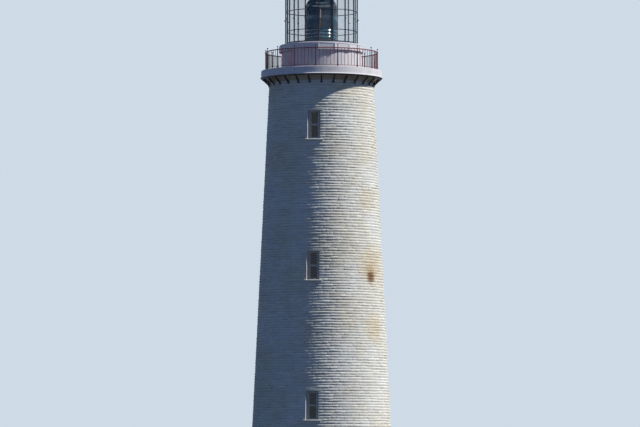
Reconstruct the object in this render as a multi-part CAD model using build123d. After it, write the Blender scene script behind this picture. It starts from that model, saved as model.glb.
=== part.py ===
from build123d import *
from math import atan2, cos, hypot, pi, radians, sin, tan
import os

# Whitewashed stone lighthouse, in millimetres, +Z up, ground at z = 0.
# The origin is the centre of the tower at the ground.
# Angles go round the tower from the window side (-Y) towards +X.

# Tower wall
BASE_RADIUS = 4200
TOP_RADIUS = 3020
ROUND_SIDES = 64
BAYS = 16
ROOM_RADII = (2000, 2080, 2160, 2240)
QUARTERS = {"front": 0, "right": 90, "back": 180, "left": 270}

# Windows and floors
FIRST_SILL = 3960
STOREYS = (8060, 8170)
HEAD_OVER_SILL = 3750
WINDOW_WIDTH = 740
WINDOW_HEIGHT = 1650
SILL_OVER_FLOOR = 870
FLOOR_THICKNESS = 180
WINDOW_FACES = (0, 180)
REVEAL = 90
FRAME_DEPTH = 110
FRAME_SIDE = 120
STILE = 62
RAIL = 105
SASH_SETBACK = 30
SASH_DEPTH = 40
GLASS_THICKNESS = 8
SILL_THICKNESS = 85
SILL_END = 70
SILL_NOSE = 45
SILL_BED = 330
LINTEL_HEIGHT = 160
LINTEL_END = 150
LINTEL_BED = 400

# Entrance
DOOR_WIDTH = 1000
DOOR_HEIGHT = 2100
GROUND_FLOOR = 300
DOOR_REVEAL = 320
DOOR_FRAME = 80
DOOR_THICKNESS = 65
DOOR_MARGIN = 112
DOOR_PANEL_SINK = 18
STEP_HEIGHT = 150
STEP_DEPTH = 420
STEP_END = 150

# Gallery
GALLERY_RADIUS = 3540
GALLERY_THICKNESS = 440
DRIP_LIP = 45
DRIP_HEIGHT = 40
DRIP_SLOPE = 25
BRACKETS = 28
BRACKET_PHASE = 7.6
BRACKET_INSET = 60
BRACKET_DROP = 490
BRACKET_BAR = 70
BRACKET_FOOT = 130
BRACKET_TOE = 80
POST_RADIUS = 3290
POST_PHASE = 1.7
POST_FOOT = 84
POST_FOOT_HEIGHT = 170
POST_BOTTOM = 58
POST_TOP = 50
RAIL_HEIGHT = 1110
RAIL_DEPTH = 58
RAIL_THICKNESS = 50
LOW_RAIL_HEIGHT = 90
LOW_RAIL_DEPTH = 40
LOW_RAIL_THICKNESS = 22
BALUSTERS = 5
BALUSTER = 22
BALL_RADIUS = 39
BALL_HEIGHT = 1255
BALL_SIDES = 6
BALL_STEPS = 4
NECK = 20

# Lantern wall
LANTERN_PHASE = 3.5
PARAPET_RADIUS = 2340
PARAPET_HEIGHT = 1430
PARAPET_INNER = 2050
BAND_STEP = 140
BAND_HEIGHT = 350
SEAM = 12
DOOR_BAY = 8
LEAF_RECESS = 70
LEAF_THICKNESS = 60
COPING_LIP = 12
COPING_LIP_HEIGHT = 60
COPING_RISE = 80
COPING_RUN = 2220

# Glazing
GLAZING_RADIUS = 2140
GLAZING_HEIGHT = 3040
BAR_WIDTH = 50
BAR_DEPTH = 70
BASE_RING_HEIGHT = 70
BASE_RING_DEPTH = 120
GLAZING_ROWS = (670, 1170)
GLAZING_BAR = 42
PANE_THICKNESS = 10
KNOB_OVER_BAR = 680
KNOB_HEIGHT = 60
KNOB_WIDTH = 30
KNOB_REACH = 60

# Lantern roof
HEAD_HEIGHT = 110
GUTTER_RADIUS = 2420
GUTTER_HEIGHT = 140
ROOF_RADIUS = 2330
ROOF_RISE = 1350
ROOF_SKIN = 30
ROOF_STEPS = 6
VENT_NECK = 260
VENT_NECK_HEIGHT = 260
VENT_FLANGE = 30
VENT_BALL = 380
VENT_BALL_LIFT = 304
VENT_ANGLES = (145, 15)
VENT_STEPS = 5
ROD_RADIUS = 22
ROD_TIP = 7
ROD_FOOT_HEIGHT = 88
ROD_HEIGHT = 780

# Lens
LENS_RADIUS = 930
LENS_SIDES = 24
LENS_OVER_DECK = 1820
LOWER_LENS = 600
BELT_HEIGHT = 1350
UPPER_LENS = 750
LENS_TOP_RADIUS = 430
LENS_SWEEP = 1.5
BELT_GLASS = 38
BELT_STEP = 26
BELT_SLOPE = 20
BELT_STEPS = 3
LOWER_PRISMS = 3
UPPER_PRISMS = 4
PRISM_GAP = 40
PRISM_DEPTH = 120
LENS_RIBS = 6
RIB_WIDTH = 16
RIB_DEPTH = 36
TABLE_RADIUS = 1000
TABLE_THICKNESS = 70
COLUMN_RADIUS = 340
COLUMN_FOOT = 520
COLUMN_FOOT_HEIGHT = 120

# Fits
GAP = 0.3

# Levels worked out from the driving sizes
SILL_LEVELS = [FIRST_SILL + sum(STOREYS[:k]) for k in range(len(STOREYS) + 1)]
WALL_HEIGHT = SILL_LEVELS[-1] + HEAD_OVER_SILL
DECK_TOP = WALL_HEIGHT + GALLERY_THICKNESS
FLOOR_LEVELS = [sill - SILL_OVER_FLOOR for sill in SILL_LEVELS]
LEDGES = [level - FLOOR_THICKNESS for level in FLOOR_LEVELS]
LIFT_SPLIT = LEDGES[1]
PARAPET_TOP = DECK_TOP + PARAPET_HEIGHT
BAND_BOTTOM = PARAPET_TOP - BAND_HEIGHT
BAND_RADIUS = PARAPET_RADIUS + BAND_STEP
COPING_TOP = PARAPET_TOP + COPING_LIP_HEIGHT + COPING_RISE
BAR_BOTTOM = COPING_TOP + BASE_RING_HEIGHT
GLAZING_LEVELS = [BAR_BOTTOM + sum(GLAZING_ROWS[:k + 1]) for k in range(len(GLAZING_ROWS))]
GLAZING_TOP = BAR_BOTTOM + GLAZING_HEIGHT
KNOB_LEVEL = GLAZING_LEVELS[0] + KNOB_OVER_BAR
LENS_BOTTOM = DECK_TOP + LENS_OVER_DECK
BELT_BOTTOM = LENS_BOTTOM + LOWER_LENS
BELT_TOP = BELT_BOTTOM + BELT_HEIGHT
LENS_TOP = BELT_TOP + UPPER_LENS
BAY = 360 / BAYS
APOTHEM = cos(radians(BAY / 2))


def wall_radius(z):
    """Outer radius of the battered wall at a height."""
    return BASE_RADIUS + (TOP_RADIUS - BASE_RADIUS) * z / WALL_HEIGHT


def around(piece, angle):
    """The piece turned about the tower's axis, from the window side."""
    return Rot(0, 0, angle) * piece


def box(x, y, z):
    """A box from its low and high limits along each axis."""
    size = (x[1] - x[0], y[1] - y[0], z[1] - z[0])
    return Pos((x[0] + x[1]) / 2, (y[0] + y[1]) / 2, (z[0] + z[1]) / 2) * Box(*size)


def turned(profile, sides, phase=0.0):
    """A closed solid of flat sides round the Z axis, from a loop of (radius, height) points."""
    turn = 2 * pi / sides

    def corner(point, k):
        angle = radians(phase) + (k - 0.5) * turn
        return (point[0] * sin(angle), -point[0] * cos(angle), point[1])

    faces = []
    for k in range(sides):
        for start, end in zip(profile, profile[1:] + profile[:1]):
            if start[0] == 0 and end[0] == 0:
                continue
            loop = [corner(start, k)]
            if start[0] > 0:
                loop.append(corner(start, k + 1))
            loop.append(corner(end, k + 1))
            if end[0] > 0:
                loop.append(corner(end, k))
            faces.append(Face(Wire.make_polygon(loop)))
    return Solid(Shell(faces))


def prism(radius, z_low, z_high, sides=BAYS, phase=0.0):
    """An upright prism whose corners lie on a circle."""
    return turned([(0, z_low), (radius, z_low), (radius, z_high), (0, z_high)], sides, phase)


def drum(r_low, r_high, z_low, z_high):
    """A round mass, straight or battered, laid out in many narrow flats."""
    return turned([(0, z_low), (r_low, z_low), (r_high, z_high), (0, z_high)], ROUND_SIDES)


def sector(centre, width, inset=0.0):
    """A wedge from the axis outwards, its two sides moved in by a small inset."""
    reach = 3 * GALLERY_RADIUS
    half = radians(width / 2)
    start = inset / sin(half)
    far_x = reach * sin(half)
    far_y = -start - reach * cos(half)
    outline = Polyline((0, -start), (far_x, far_y), (-far_x, far_y), close=True)
    return around(extrude(make_face(outline), 2 * WALL_HEIGHT), centre)


def radial_plate(points, thickness):
    """A plate of even thickness in an upright plane through the axis, on the window side."""
    outline = Polyline(*[(r, z) for r, z in points], close=True)
    plane = Plane(origin=(0, 0, 0), x_dir=(0, -1, 0), z_dir=(-1, 0, 0))
    return extrude(plane * make_face(outline), thickness / 2, both=True)


def bay_bar(inner, outer, z_low, z_high, end):
    """A straight bar along one flat of the lantern, between mitred ends."""
    half = tan(radians(BAY / 2))
    outline = Polyline(
        (inner * half - end, -inner),
        (outer * half - end, -outer),
        (end - outer * half, -outer),
        (end - inner * half, -inner),
        close=True,
    )
    return Pos(0, 0, z_low) * extrude(make_face(outline), z_high - z_low)


def opening(width, z_low, z_high, angle):
    """The passage that a window or door takes through the wall."""
    return around(box((-width / 2, width / 2), (-BASE_RADIUS, 0), (z_low, z_high)), angle)


def face_depth(z_high, half_width):
    """How far out an upright frame may stand before the wall's curve cuts it."""
    radius = wall_radius(z_high)
    return (radius ** 2 - half_width ** 2) ** 0.5


# Stone seats for sills and lintels

def sill_block(sill, width, extra=0.0):
    """A window's sill stone, or with extra size the seat that is cut for it."""
    front = wall_radius(sill) + SILL_NOSE
    half = width / 2 + SILL_END + extra
    return box(
        (-half, half),
        (-front, -front + SILL_BED + extra),
        (sill - SILL_THICKNESS - extra, sill),
    )


def lintel_block(head, width, extra=0.0):
    """A lintel over an opening, its front face flush with the battered wall."""
    half = width / 2 + LINTEL_END + extra
    front = wall_radius(head)
    block = box(
        (-half, half),
        (-front - extra, -front + LINTEL_BED + extra),
        (head, head + LINTEL_HEIGHT + extra),
    )
    return block & drum(BASE_RADIUS + extra, TOP_RADIUS + extra, 0, WALL_HEIGHT)


# Wall

def wall_lift(z_low, z_high, rooms):
    """One lift of the wall as a whole ring; rooms are (radius, top) from the bottom up."""
    ring = drum(wall_radius(z_low), wall_radius(z_high), z_low, z_high)
    floor = z_low
    for radius, top in rooms:
        ring -= prism(radius, floor, top)
        floor = top
    for angle in WINDOW_FACES:
        for sill in SILL_LEVELS:
            if z_low < sill < z_high:
                head = sill + WINDOW_HEIGHT
                ring -= opening(WINDOW_WIDTH, sill, head, angle)
                ring -= around(sill_block(sill, WINDOW_WIDTH, GAP), angle)
                ring -= around(lintel_block(head, WINDOW_WIDTH, GAP), angle)
    return ring


def lower_wall():
    """The lift from the ground to the second floor, with the doorway."""
    ring = wall_lift(0, LIFT_SPLIT, [(ROOM_RADII[0], LEDGES[0]), (ROOM_RADII[1], LIFT_SPLIT)])
    door_head = GROUND_FLOOR + DOOR_HEIGHT
    ring -= opening(DOOR_WIDTH, GROUND_FLOOR, door_head, 0)
    ring -= lintel_block(door_head, DOOR_WIDTH, GAP)
    return ring


def upper_wall():
    """The lift from the second floor to the gallery."""
    return wall_lift(LIFT_SPLIT, WALL_HEIGHT, [(ROOM_RADII[2], LEDGES[2]), (ROOM_RADII[3], WALL_HEIGHT)])


def wall_quarters(name, ring):
    """The ring cut into four upright quarters."""
    width = 360 / len(QUARTERS)
    return {
        "wall_%s_%s" % (name, side): [ring & sector(angle, width)]
        for side, angle in QUARTERS.items()
    }


# Floors

def floors():
    """The ground floor on the earth, and a slab on each ledge of the wall."""
    nodes = {"ground_floor": [prism(ROOM_RADII[0] - GAP, 0, GROUND_FLOOR)]}
    names = ("first_floor", "second_floor", "third_floor")
    for name, radius, ledge, level in zip(names, ROOM_RADII[1:], LEDGES, FLOOR_LEVELS):
        nodes[name] = [prism(radius - GAP / APOTHEM, ledge, level)]
    return nodes


# Windows

def window_frame(sill):
    """Box frame with an upper and a lower sash, as one joined piece, and its two panes."""
    head = sill + WINDOW_HEIGHT - GAP
    half = WINDOW_WIDTH / 2 - GAP
    front = face_depth(head, half) - REVEAL
    frame = box((-half, half), (-front, -front + FRAME_DEPTH), (sill, head))
    inner = half - FRAME_SIDE
    frame -= box((-inner, inner), (-front, -front + SASH_SETBACK), (sill + RAIL / 2, head - RAIL / 2))
    back = -front + SASH_SETBACK + SASH_DEPTH
    frame -= box((-inner, inner), (back, -front + FRAME_DEPTH), (sill + RAIL / 2, head - RAIL / 2))
    light = inner - STILE
    middle = (sill + head) / 2
    glass_y = -front + SASH_SETBACK + SASH_DEPTH / 2
    panes = []
    for low, high in ((sill + RAIL, middle - RAIL / 2), (middle + RAIL / 2, head - RAIL)):
        frame -= box((-light, light), (-front, -front + FRAME_DEPTH), (low, high))
        y = (glass_y - GLASS_THICKNESS / 2, glass_y + GLASS_THICKNESS / 2)
        panes.append(box((GAP - light, light - GAP), y, (low + GAP, high - GAP)))
    return frame, panes


def windows():
    """Sills, lintels, frames and panes of every window."""
    nodes = {"window_sills": [], "window_lintels": [], "window_frames": [], "window_glass": []}
    for angle in WINDOW_FACES:
        for sill in SILL_LEVELS:
            frame, panes = window_frame(sill)
            nodes["window_sills"].append(around(sill_block(sill, WINDOW_WIDTH), angle))
            lintel = lintel_block(sill + WINDOW_HEIGHT, WINDOW_WIDTH)
            nodes["window_lintels"].append(around(lintel, angle))
            nodes["window_frames"].append(around(frame, angle))
            nodes["window_glass"] += [around(pane, angle) for pane in panes]
    return nodes


# Entrance

def entrance():
    """Doorway frame, closed leaf with sunk panels, lintel and outer step."""
    head = GROUND_FLOOR + DOOR_HEIGHT - GAP
    half = DOOR_WIDTH / 2 - GAP
    front = face_depth(head, half) - DOOR_REVEAL
    frame = box((-half, half), (-front, -front + FRAME_DEPTH), (GROUND_FLOOR, head))
    inner = half - DOOR_FRAME
    frame -= box((-inner, inner), (-front, -front + FRAME_DEPTH), (GROUND_FLOOR, head - DOOR_FRAME))
    leaf_half = inner - GAP
    leaf_top = head - DOOR_FRAME - GAP
    leaf_front = -front + SASH_SETBACK
    leaf_back = leaf_front + DOOR_THICKNESS
    leaf = box((-leaf_half, leaf_half), (leaf_front, leaf_back), (GROUND_FLOOR + GAP, leaf_top))
    panel_half = leaf_half - DOOR_MARGIN
    middle = (GROUND_FLOOR + leaf_top) / 2
    sunk = (leaf_front, leaf_front + DOOR_PANEL_SINK)
    lower_panel = (GROUND_FLOOR + 2 * DOOR_MARGIN, middle - DOOR_MARGIN / 2)
    upper_panel = (middle + DOOR_MARGIN / 2, leaf_top - DOOR_MARGIN)
    for low, high in (lower_panel, upper_panel):
        leaf -= box((-panel_half, panel_half), sunk, (low, high))
    step_half = DOOR_WIDTH / 2 + STEP_END
    step = box((-step_half, step_half), (-BASE_RADIUS - STEP_DEPTH, -front), (0, STEP_HEIGHT))
    step -= drum(BASE_RADIUS + GAP, TOP_RADIUS + GAP, 0, WALL_HEIGHT)
    return {
        "entrance_frame": [frame],
        "entrance_door": [leaf],
        "entrance_lintel": [lintel_block(GROUND_FLOOR + DOOR_HEIGHT, DOOR_WIDTH)],
        "entrance_step": [step],
    }


# Gallery

def bracket():
    """Iron bracket: a foot on the wall and a strut that leans out to the slab's edge."""
    top = WALL_HEIGHT
    foot = top - BRACKET_DROP
    wall_foot = wall_radius(foot) + GAP
    slope = (wall_foot - wall_radius(top) - GAP) / BRACKET_DROP
    reach = GALLERY_RADIUS - BRACKET_INSET
    outer_end = (reach, top - BRACKET_BAR)
    toe = (wall_foot + BRACKET_TOE, foot + BRACKET_TOE)
    toe_under = (wall_foot + BRACKET_TOE, foot)
    run = outer_end[0] - toe[0]
    rise = outer_end[1] - toe[1]
    length = hypot(run, rise)
    inner_r = toe[0] - BRACKET_BAR * rise / length
    inner_z = toe[1] + BRACKET_BAR * run / length
    to_slab = (top - inner_z) / rise
    to_wall = (wall_foot - slope * (inner_z - foot) - inner_r) / (run + slope * rise)
    strut = radial_plate([
        (reach, top), outer_end, toe, toe_under, (wall_foot, foot),
        (inner_r + run * to_wall, inner_z + rise * to_wall),
        (inner_r + run * to_slab, top),
    ], BRACKET_BAR)
    half = BRACKET_FOOT / 2
    pad = box((-half, half), (-wall_foot - BRACKET_TOE, -wall_foot), (foot, foot + BRACKET_TOE))
    return strut + pad


def post():
    """Railing post: a square shaft on a foot, with a neck and a ball on top."""
    corner = 2 ** 0.5 / 2
    foot = POST_FOOT * corner
    shaft = turned([
        (0, 0), (foot, 0), (foot, POST_FOOT_HEIGHT), (POST_BOTTOM * corner, POST_FOOT_HEIGHT + BALUSTER),
        (POST_TOP * corner, RAIL_HEIGHT), (0, RAIL_HEIGHT),
    ], 4)
    profile = [(0, RAIL_HEIGHT), (NECK, RAIL_HEIGHT)]
    for i in range(BALL_STEPS):
        turn = pi * (1 - (i + 0.5) / BALL_STEPS)
        profile.append((BALL_RADIUS * sin(turn), BALL_HEIGHT + BALL_RADIUS * cos(turn)))
    ball = turned(profile + [(0, BALL_HEIGHT + BALL_RADIUS)], BALL_SIDES)
    return Pos(0, -POST_RADIUS, DECK_TOP) * (shaft + ball)


def rail_strip(radius, depth, z_low, z_high):
    """A flat bar round the gallery, straight between neighbouring balusters, post to post."""
    points = []
    half = BAY / 2
    count = (BALUSTERS + 1) // 2
    for edge, order in ((radius - depth / 2, 1), (radius + depth / 2, -1)):
        row = []
        for i in range(count + 1):
            angle = radians(-half + i * BAY / count)
            row.append((edge * sin(angle), -edge * cos(angle)))
        points += row[::order]
    strip = extrude(make_face(Polyline(*points, close=True)), z_high - z_low)
    return Pos(0, 0, z_low) * strip


def rail_panel():
    """One bay of railing between two posts: handrail, low rail and balusters."""
    low = DECK_TOP + LOW_RAIL_HEIGHT
    top = DECK_TOP + RAIL_HEIGHT
    panel = rail_strip(POST_RADIUS, RAIL_DEPTH, top - RAIL_THICKNESS, top)
    panel += rail_strip(POST_RADIUS, LOW_RAIL_DEPTH, low, low + LOW_RAIL_THICKNESS)
    half = BALUSTER / 2
    bar = box(
        (-half, half),
        (-POST_RADIUS - half, half - POST_RADIUS),
        (low + LOW_RAIL_THICKNESS, top - RAIL_THICKNESS),
    )
    for i in range(1, BALUSTERS + 1):
        panel += around(bar, (i / (BALUSTERS + 1) - 0.5) * BAY)
    rail_share = (RAIL_HEIGHT - RAIL_THICKNESS - POST_FOOT_HEIGHT) / (RAIL_HEIGHT - POST_FOOT_HEIGHT)
    post_at_rail = POST_BOTTOM + (POST_TOP - POST_BOTTOM) * rail_share
    ends = [
        (post_at_rail / 2 + GAP, top - RAIL_THICKNESS * 2, top + RAIL_THICKNESS),
        (POST_FOOT / 2 + GAP, low - LOW_RAIL_THICKNESS, low + LOW_RAIL_THICKNESS * 2),
    ]
    for side in (-1, 1):
        for width, z_low, z_high in ends:
            depth = (-POST_RADIUS - RAIL_DEPTH, RAIL_DEPTH - POST_RADIUS)
            panel -= around(box((-width, width), depth, (z_low, z_high)), side * BAY / 2)
    return panel


def slab():
    """The round gallery floor, with a drip lip round its lower edge."""
    lip = GALLERY_RADIUS + DRIP_LIP
    lip_top = WALL_HEIGHT + DRIP_HEIGHT
    return turned([
        (0, WALL_HEIGHT), (lip, WALL_HEIGHT), (lip, lip_top), (GALLERY_RADIUS, lip_top + DRIP_SLOPE),
        (GALLERY_RADIUS, DECK_TOP), (0, DECK_TOP),
    ], ROUND_SIDES)


def gallery():
    """Slab, brackets, posts and railing bays."""
    bracket_places = [BRACKET_PHASE + k * 360 / BRACKETS for k in range(BRACKETS)]
    bracket_piece = bracket()
    post_piece = post()
    panel_piece = rail_panel()
    return {
        "gallery_slab": [slab()],
        "gallery_brackets": [around(bracket_piece, a) for a in bracket_places],
        "railing_posts": [around(post_piece, POST_PHASE + k * BAY) for k in range(BAYS)],
        "railing_panels": [around(panel_piece, POST_PHASE + (k + 0.5) * BAY) for k in range(BAYS)],
    }


# Lantern parapet

def parapet_ring(outer, inner, z_low, z_high):
    """One bay of a round wall with a flat inner face."""
    ring = drum(outer, outer, z_low, z_high) - prism(inner / APOTHEM, z_low, z_high)
    return ring & sector(0, BAY, GAP / 2)


def band_panel():
    """One flat iron panel of the band on the parapet, its upright edges eased to show the seams."""
    face = BAND_RADIUS * APOTHEM
    panel = bay_bar(PARAPET_INNER, face, BAND_BOTTOM, PARAPET_TOP, GAP / 2)
    edges = [e for e in panel.edges().filter_by(Axis.Z) if abs(e.center().Y + face) < SEAM]
    return chamfer(edges, SEAM)


def parapet():
    """Round wall and flat-sided band in fifteen bays, a door in the sixteenth, and a sloping coping."""
    wall = parapet_ring(PARAPET_RADIUS, PARAPET_INNER, DECK_TOP, BAND_BOTTOM)
    panel = band_panel()
    centres = [LANTERN_PHASE + (k + 0.5) * BAY for k in range(BAYS)]
    places = [centres[k] for k in range(BAYS) if k != DOOR_BAY]
    outer = PARAPET_RADIUS - LEAF_RECESS
    inner = outer - LEAF_THICKNESS
    leaf = drum(outer, outer, DECK_TOP, PARAPET_TOP - GAP) - drum(inner, inner, DECK_TOP, PARAPET_TOP)
    leaf = leaf & sector(0, BAY, 1.5 * GAP)
    lip = BAND_RADIUS + COPING_LIP
    lip_top = PARAPET_TOP + COPING_LIP_HEIGHT
    turn = LANTERN_PHASE + BAY / 2
    coping = turned([
        (0, PARAPET_TOP), (lip, PARAPET_TOP), (lip, lip_top), (COPING_RUN, COPING_TOP), (0, COPING_TOP),
    ], BAYS, turn)
    coping -= prism(PARAPET_INNER / APOTHEM, PARAPET_TOP, COPING_TOP, BAYS, turn)
    return {
        "parapet_wall": [around(wall, a) for a in places],
        "parapet_panels": [around(panel, a) for a in places],
        "gallery_door": [around(leaf, centres[DOOR_BAY])],
        "parapet_coping": [coping],
    }


# Lantern glazing

def lantern():
    """Base ring, upright bars, glazing bars, panes, hand knobs and head ring."""
    centres = [LANTERN_PHASE + (k + 0.5) * BAY for k in range(BAYS)]
    corners = [LANTERN_PHASE + k * BAY for k in range(BAYS)]
    face = GLAZING_RADIUS * APOTHEM
    mid = face - BAR_DEPTH / 2
    base_bar = bay_bar(mid - BASE_RING_DEPTH / 2, mid + BASE_RING_DEPTH / 2, COPING_TOP, BAR_BOTTOM, GAP / 2)
    bar = box(
        (-BAR_WIDTH / 2, BAR_WIDTH / 2),
        (-GLAZING_RADIUS, BAR_DEPTH - GLAZING_RADIUS),
        (BAR_BOTTOM, GLAZING_TOP),
    )
    clear = BAR_WIDTH / 2 / APOTHEM + GAP
    rows = []
    edges = [BAR_BOTTOM]
    for level in GLAZING_LEVELS:
        edges += [level - GLAZING_BAR / 2, level + GLAZING_BAR / 2]
    edges.append(GLAZING_TOP)
    pane_in = mid - PANE_THICKNESS / 2
    pane_out = mid + PANE_THICKNESS / 2
    for low, high in zip(edges[::2], edges[1::2]):
        rows.append(bay_bar(pane_in, pane_out, low + GAP, high - GAP, clear))
    half_bar = GLAZING_BAR / 2
    cross = [
        bay_bar(mid - half_bar, mid + half_bar, level - half_bar, level + half_bar, clear)
        for level in GLAZING_LEVELS
    ]
    knob = box(
        (-KNOB_WIDTH / 2, KNOB_WIDTH / 2),
        (-GLAZING_RADIUS - KNOB_REACH, -GLAZING_RADIUS),
        (KNOB_LEVEL - KNOB_HEIGHT / 2, KNOB_LEVEL + KNOB_HEIGHT / 2),
    )
    head_out = (GLAZING_RADIUS + BAR_DEPTH / 2) * APOTHEM
    head = bay_bar(mid - BASE_RING_DEPTH / 2, head_out, GLAZING_TOP, GLAZING_TOP + HEAD_HEIGHT, GAP / 2)
    nodes = {
        "lantern_base_ring": [around(base_bar, a) for a in centres],
        "lantern_upright_bars": [around(bar, a) for a in corners],
        "lantern_glazing_bars": [around(piece, a) for piece in cross for a in centres],
        "lantern_hand_knobs": [around(knob, a) for a in corners],
        "lantern_head_ring": [around(head, a) for a in centres],
    }
    for name, pane in zip(("lower", "middle", "upper"), rows):
        nodes["lantern_glass_%s" % name] = [around(pane, a) for a in centres]
    return nodes


# Roof

def roof():
    """Gutter, sixteen-sided dome, ventilator with a ball, and the rod on it."""
    turn = LANTERN_PHASE + BAY / 2
    gutter_low = GLAZING_TOP + HEAD_HEIGHT
    gutter_top = gutter_low + GUTTER_HEIGHT
    inner = GLAZING_RADIUS - BASE_RING_DEPTH
    channel = GUTTER_HEIGHT / 3
    gutter = turned([
        (inner, gutter_low), (GUTTER_RADIUS - channel, gutter_low), (GUTTER_RADIUS, gutter_low + channel),
        (GUTTER_RADIUS, gutter_top), (inner, gutter_top),
    ], BAYS, turn)
    outer_arc = []
    inner_arc = []
    start = atan2(VENT_NECK, ROOF_RISE)
    for i in range(ROOF_STEPS + 1):
        angle = (pi / 2) - (pi / 2 - start) * i / ROOF_STEPS
        outer_arc.append((ROOF_RADIUS * sin(angle), gutter_top + ROOF_RISE * cos(angle)))
        under = (ROOF_RISE - ROOF_SKIN) * cos(angle)
        inner_arc.append(((ROOF_RADIUS - ROOF_SKIN) * sin(angle), gutter_top + under))
    dome = turned(outer_arc + inner_arc[::-1], BAYS, turn)
    seat = outer_arc[-1]
    neck_top = seat[1] + VENT_NECK_HEIGHT
    ball_centre = neck_top + VENT_BALL_LIFT
    profile = [(0, seat[1]), (seat[0] + VENT_FLANGE, seat[1]), (VENT_NECK, neck_top)]
    low_angle, high_angle = VENT_ANGLES
    for i in range(VENT_STEPS + 1):
        angle = radians(low_angle + (high_angle - low_angle) * i / VENT_STEPS)
        profile.append((VENT_BALL * sin(angle), ball_centre + VENT_BALL * cos(angle)))
    rod_low = profile[-1][1]
    vent = turned(profile + [(0, rod_low)], BAYS, turn)
    rod_top = ball_centre + VENT_BALL + ROD_HEIGHT
    rod = turned([
        (0, rod_low), (ROD_RADIUS * 2, rod_low), (ROD_RADIUS, rod_low + ROD_FOOT_HEIGHT),
        (ROD_TIP, rod_top), (0, rod_top),
    ], 8)
    return {"roof_gutter": [gutter], "roof_dome": [dome], "roof_ventilator": [vent], "roof_rod": [rod]}


# Lens

def lens_edge(z):
    """Radius of the ribs' inner edge: upright along the drum, drawn in towards the crown."""
    if z <= BELT_TOP:
        return LENS_RADIUS
    share = (z - BELT_TOP) / (LENS_TOP - BELT_TOP)
    return LENS_RADIUS + (LENS_TOP_RADIUS - LENS_RADIUS) * share ** LENS_SWEEP


def belt():
    """Middle drum of glass: its outer face steps back from a swelling centre, above and below."""
    middle = (BELT_BOTTOM + BELT_TOP) / 2
    half = (BELT_TOP - BELT_BOTTOM) / 2 - PRISM_GAP / 2
    outer = LENS_RADIUS - GAP
    step = half / (BELT_STEPS + 0.5)
    upper = [(outer, middle + step / 2)]
    for i in range(BELT_STEPS):
        upper.append((outer - BELT_STEP, middle + (i + 0.5) * step))
        upper.append((outer - BELT_STEP + BELT_SLOPE, middle + (i + 1.5) * step))
    lower = [(r, 2 * middle - z) for r, z in reversed(upper)]
    inner = outer - BELT_STEP - BELT_GLASS
    profile = [(inner, middle - half)] + lower + upper + [(inner, middle + half)]
    return turned(profile, LENS_SIDES)


def ring_spans(bottom, top, count):
    """Low and high edges of evenly pitched rings, with a gap between neighbours."""
    pitch = (top - bottom) / count
    starts = [bottom + k * pitch for k in range(count)]
    return [(start + PRISM_GAP / 2, start + pitch - PRISM_GAP / 2) for start in starts]


def prism_ring(low, high):
    """One ring of glass with a three-cornered section, its outer corner on the ribs."""
    outer_low = lens_edge(low) - GAP
    outer_high = lens_edge(high) - GAP
    inner = (outer_low + outer_high) / 2 - PRISM_DEPTH
    return turned([(inner, (low + high) / 2), (outer_low, low), (outer_high, high)], LENS_SIDES)


def lens():
    """Column and table, ribs with a crown, the belt and the rings of prisms."""
    table_low = LENS_BOTTOM - TABLE_THICKNESS
    column = turned([
        (0, DECK_TOP), (COLUMN_FOOT, DECK_TOP), (COLUMN_FOOT, DECK_TOP + COLUMN_FOOT_HEIGHT),
        (COLUMN_RADIUS, DECK_TOP + COLUMN_FOOT_HEIGHT), (COLUMN_RADIUS, table_low - COLUMN_FOOT_HEIGHT),
        (COLUMN_FOOT, table_low), (TABLE_RADIUS, table_low), (TABLE_RADIUS, LENS_BOTTOM), (0, LENS_BOTTOM),
    ], BAYS)
    lower_spans = ring_spans(LENS_BOTTOM, BELT_BOTTOM, LOWER_PRISMS)
    upper_spans = ring_spans(BELT_TOP, LENS_TOP - RIB_DEPTH, UPPER_PRISMS)
    heights = [LENS_BOTTOM, BELT_TOP] + [z for span in upper_spans for z in span] + [LENS_TOP]
    inner_line = [(lens_edge(z), z) for z in heights]
    outer_line = [(r + RIB_DEPTH, z) for r, z in inner_line]
    rib = radial_plate(inner_line + outer_line[::-1], RIB_WIDTH)
    first_corner = -180 / LENS_SIDES
    frame = around(rib, first_corner)
    for k in range(1, LENS_RIBS):
        frame += around(rib, first_corner + k * 360 / LENS_RIBS)
    crown_radius = LENS_TOP_RADIUS + RIB_DEPTH
    frame += turned([
        (0, LENS_TOP - RIB_DEPTH), (crown_radius, LENS_TOP - RIB_DEPTH), (crown_radius, LENS_TOP),
        (crown_radius / 2, LENS_TOP + RIB_DEPTH), (0, LENS_TOP + RIB_DEPTH),
    ], BAYS)
    return {
        "lens_column": [column],
        "lens_frame": [frame],
        "lens_belt": [belt()],
        "lens_prisms_lower": [prism_ring(low, high) for low, high in lower_spans],
        "lens_prisms_upper": [prism_ring(low, high) for low, high in upper_spans],
    }


def solids_of(piece):
    """The solids of a result, whatever kind of shape it is."""
    return list(piece.solids())


def main():
    os.makedirs("parts", exist_ok=True)
    nodes = {}
    nodes.update(wall_quarters("lower", lower_wall()))
    nodes.update(wall_quarters("upper", upper_wall()))
    for group in (floors(), windows(), entrance(), gallery(), parapet(), lantern(), roof(), lens()):
        nodes.update(group)
    for name, pieces in nodes.items():
        solids = [solid for piece in pieces for solid in solids_of(piece)]
        export_step(Compound(children=solids), "parts/%s.step" % name)
        print(name, len(solids))


main()
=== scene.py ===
# %% [markdown]
# A whitewashed stone lighthouse, dressed for the camera.
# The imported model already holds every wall, floor, window, rail and pane at its real size.
# This lesson gives it its surfaces: thousands of rough stones under thick limewash, painted iron,
# a red railing, clear panes and the stepped glass of the lens.
# Lengths are in metres, and angles go round the tower from the window side towards the right.

# %% Load the frame
import math
import bpy
import numpy as np
from mathutils import Matrix, Vector


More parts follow.
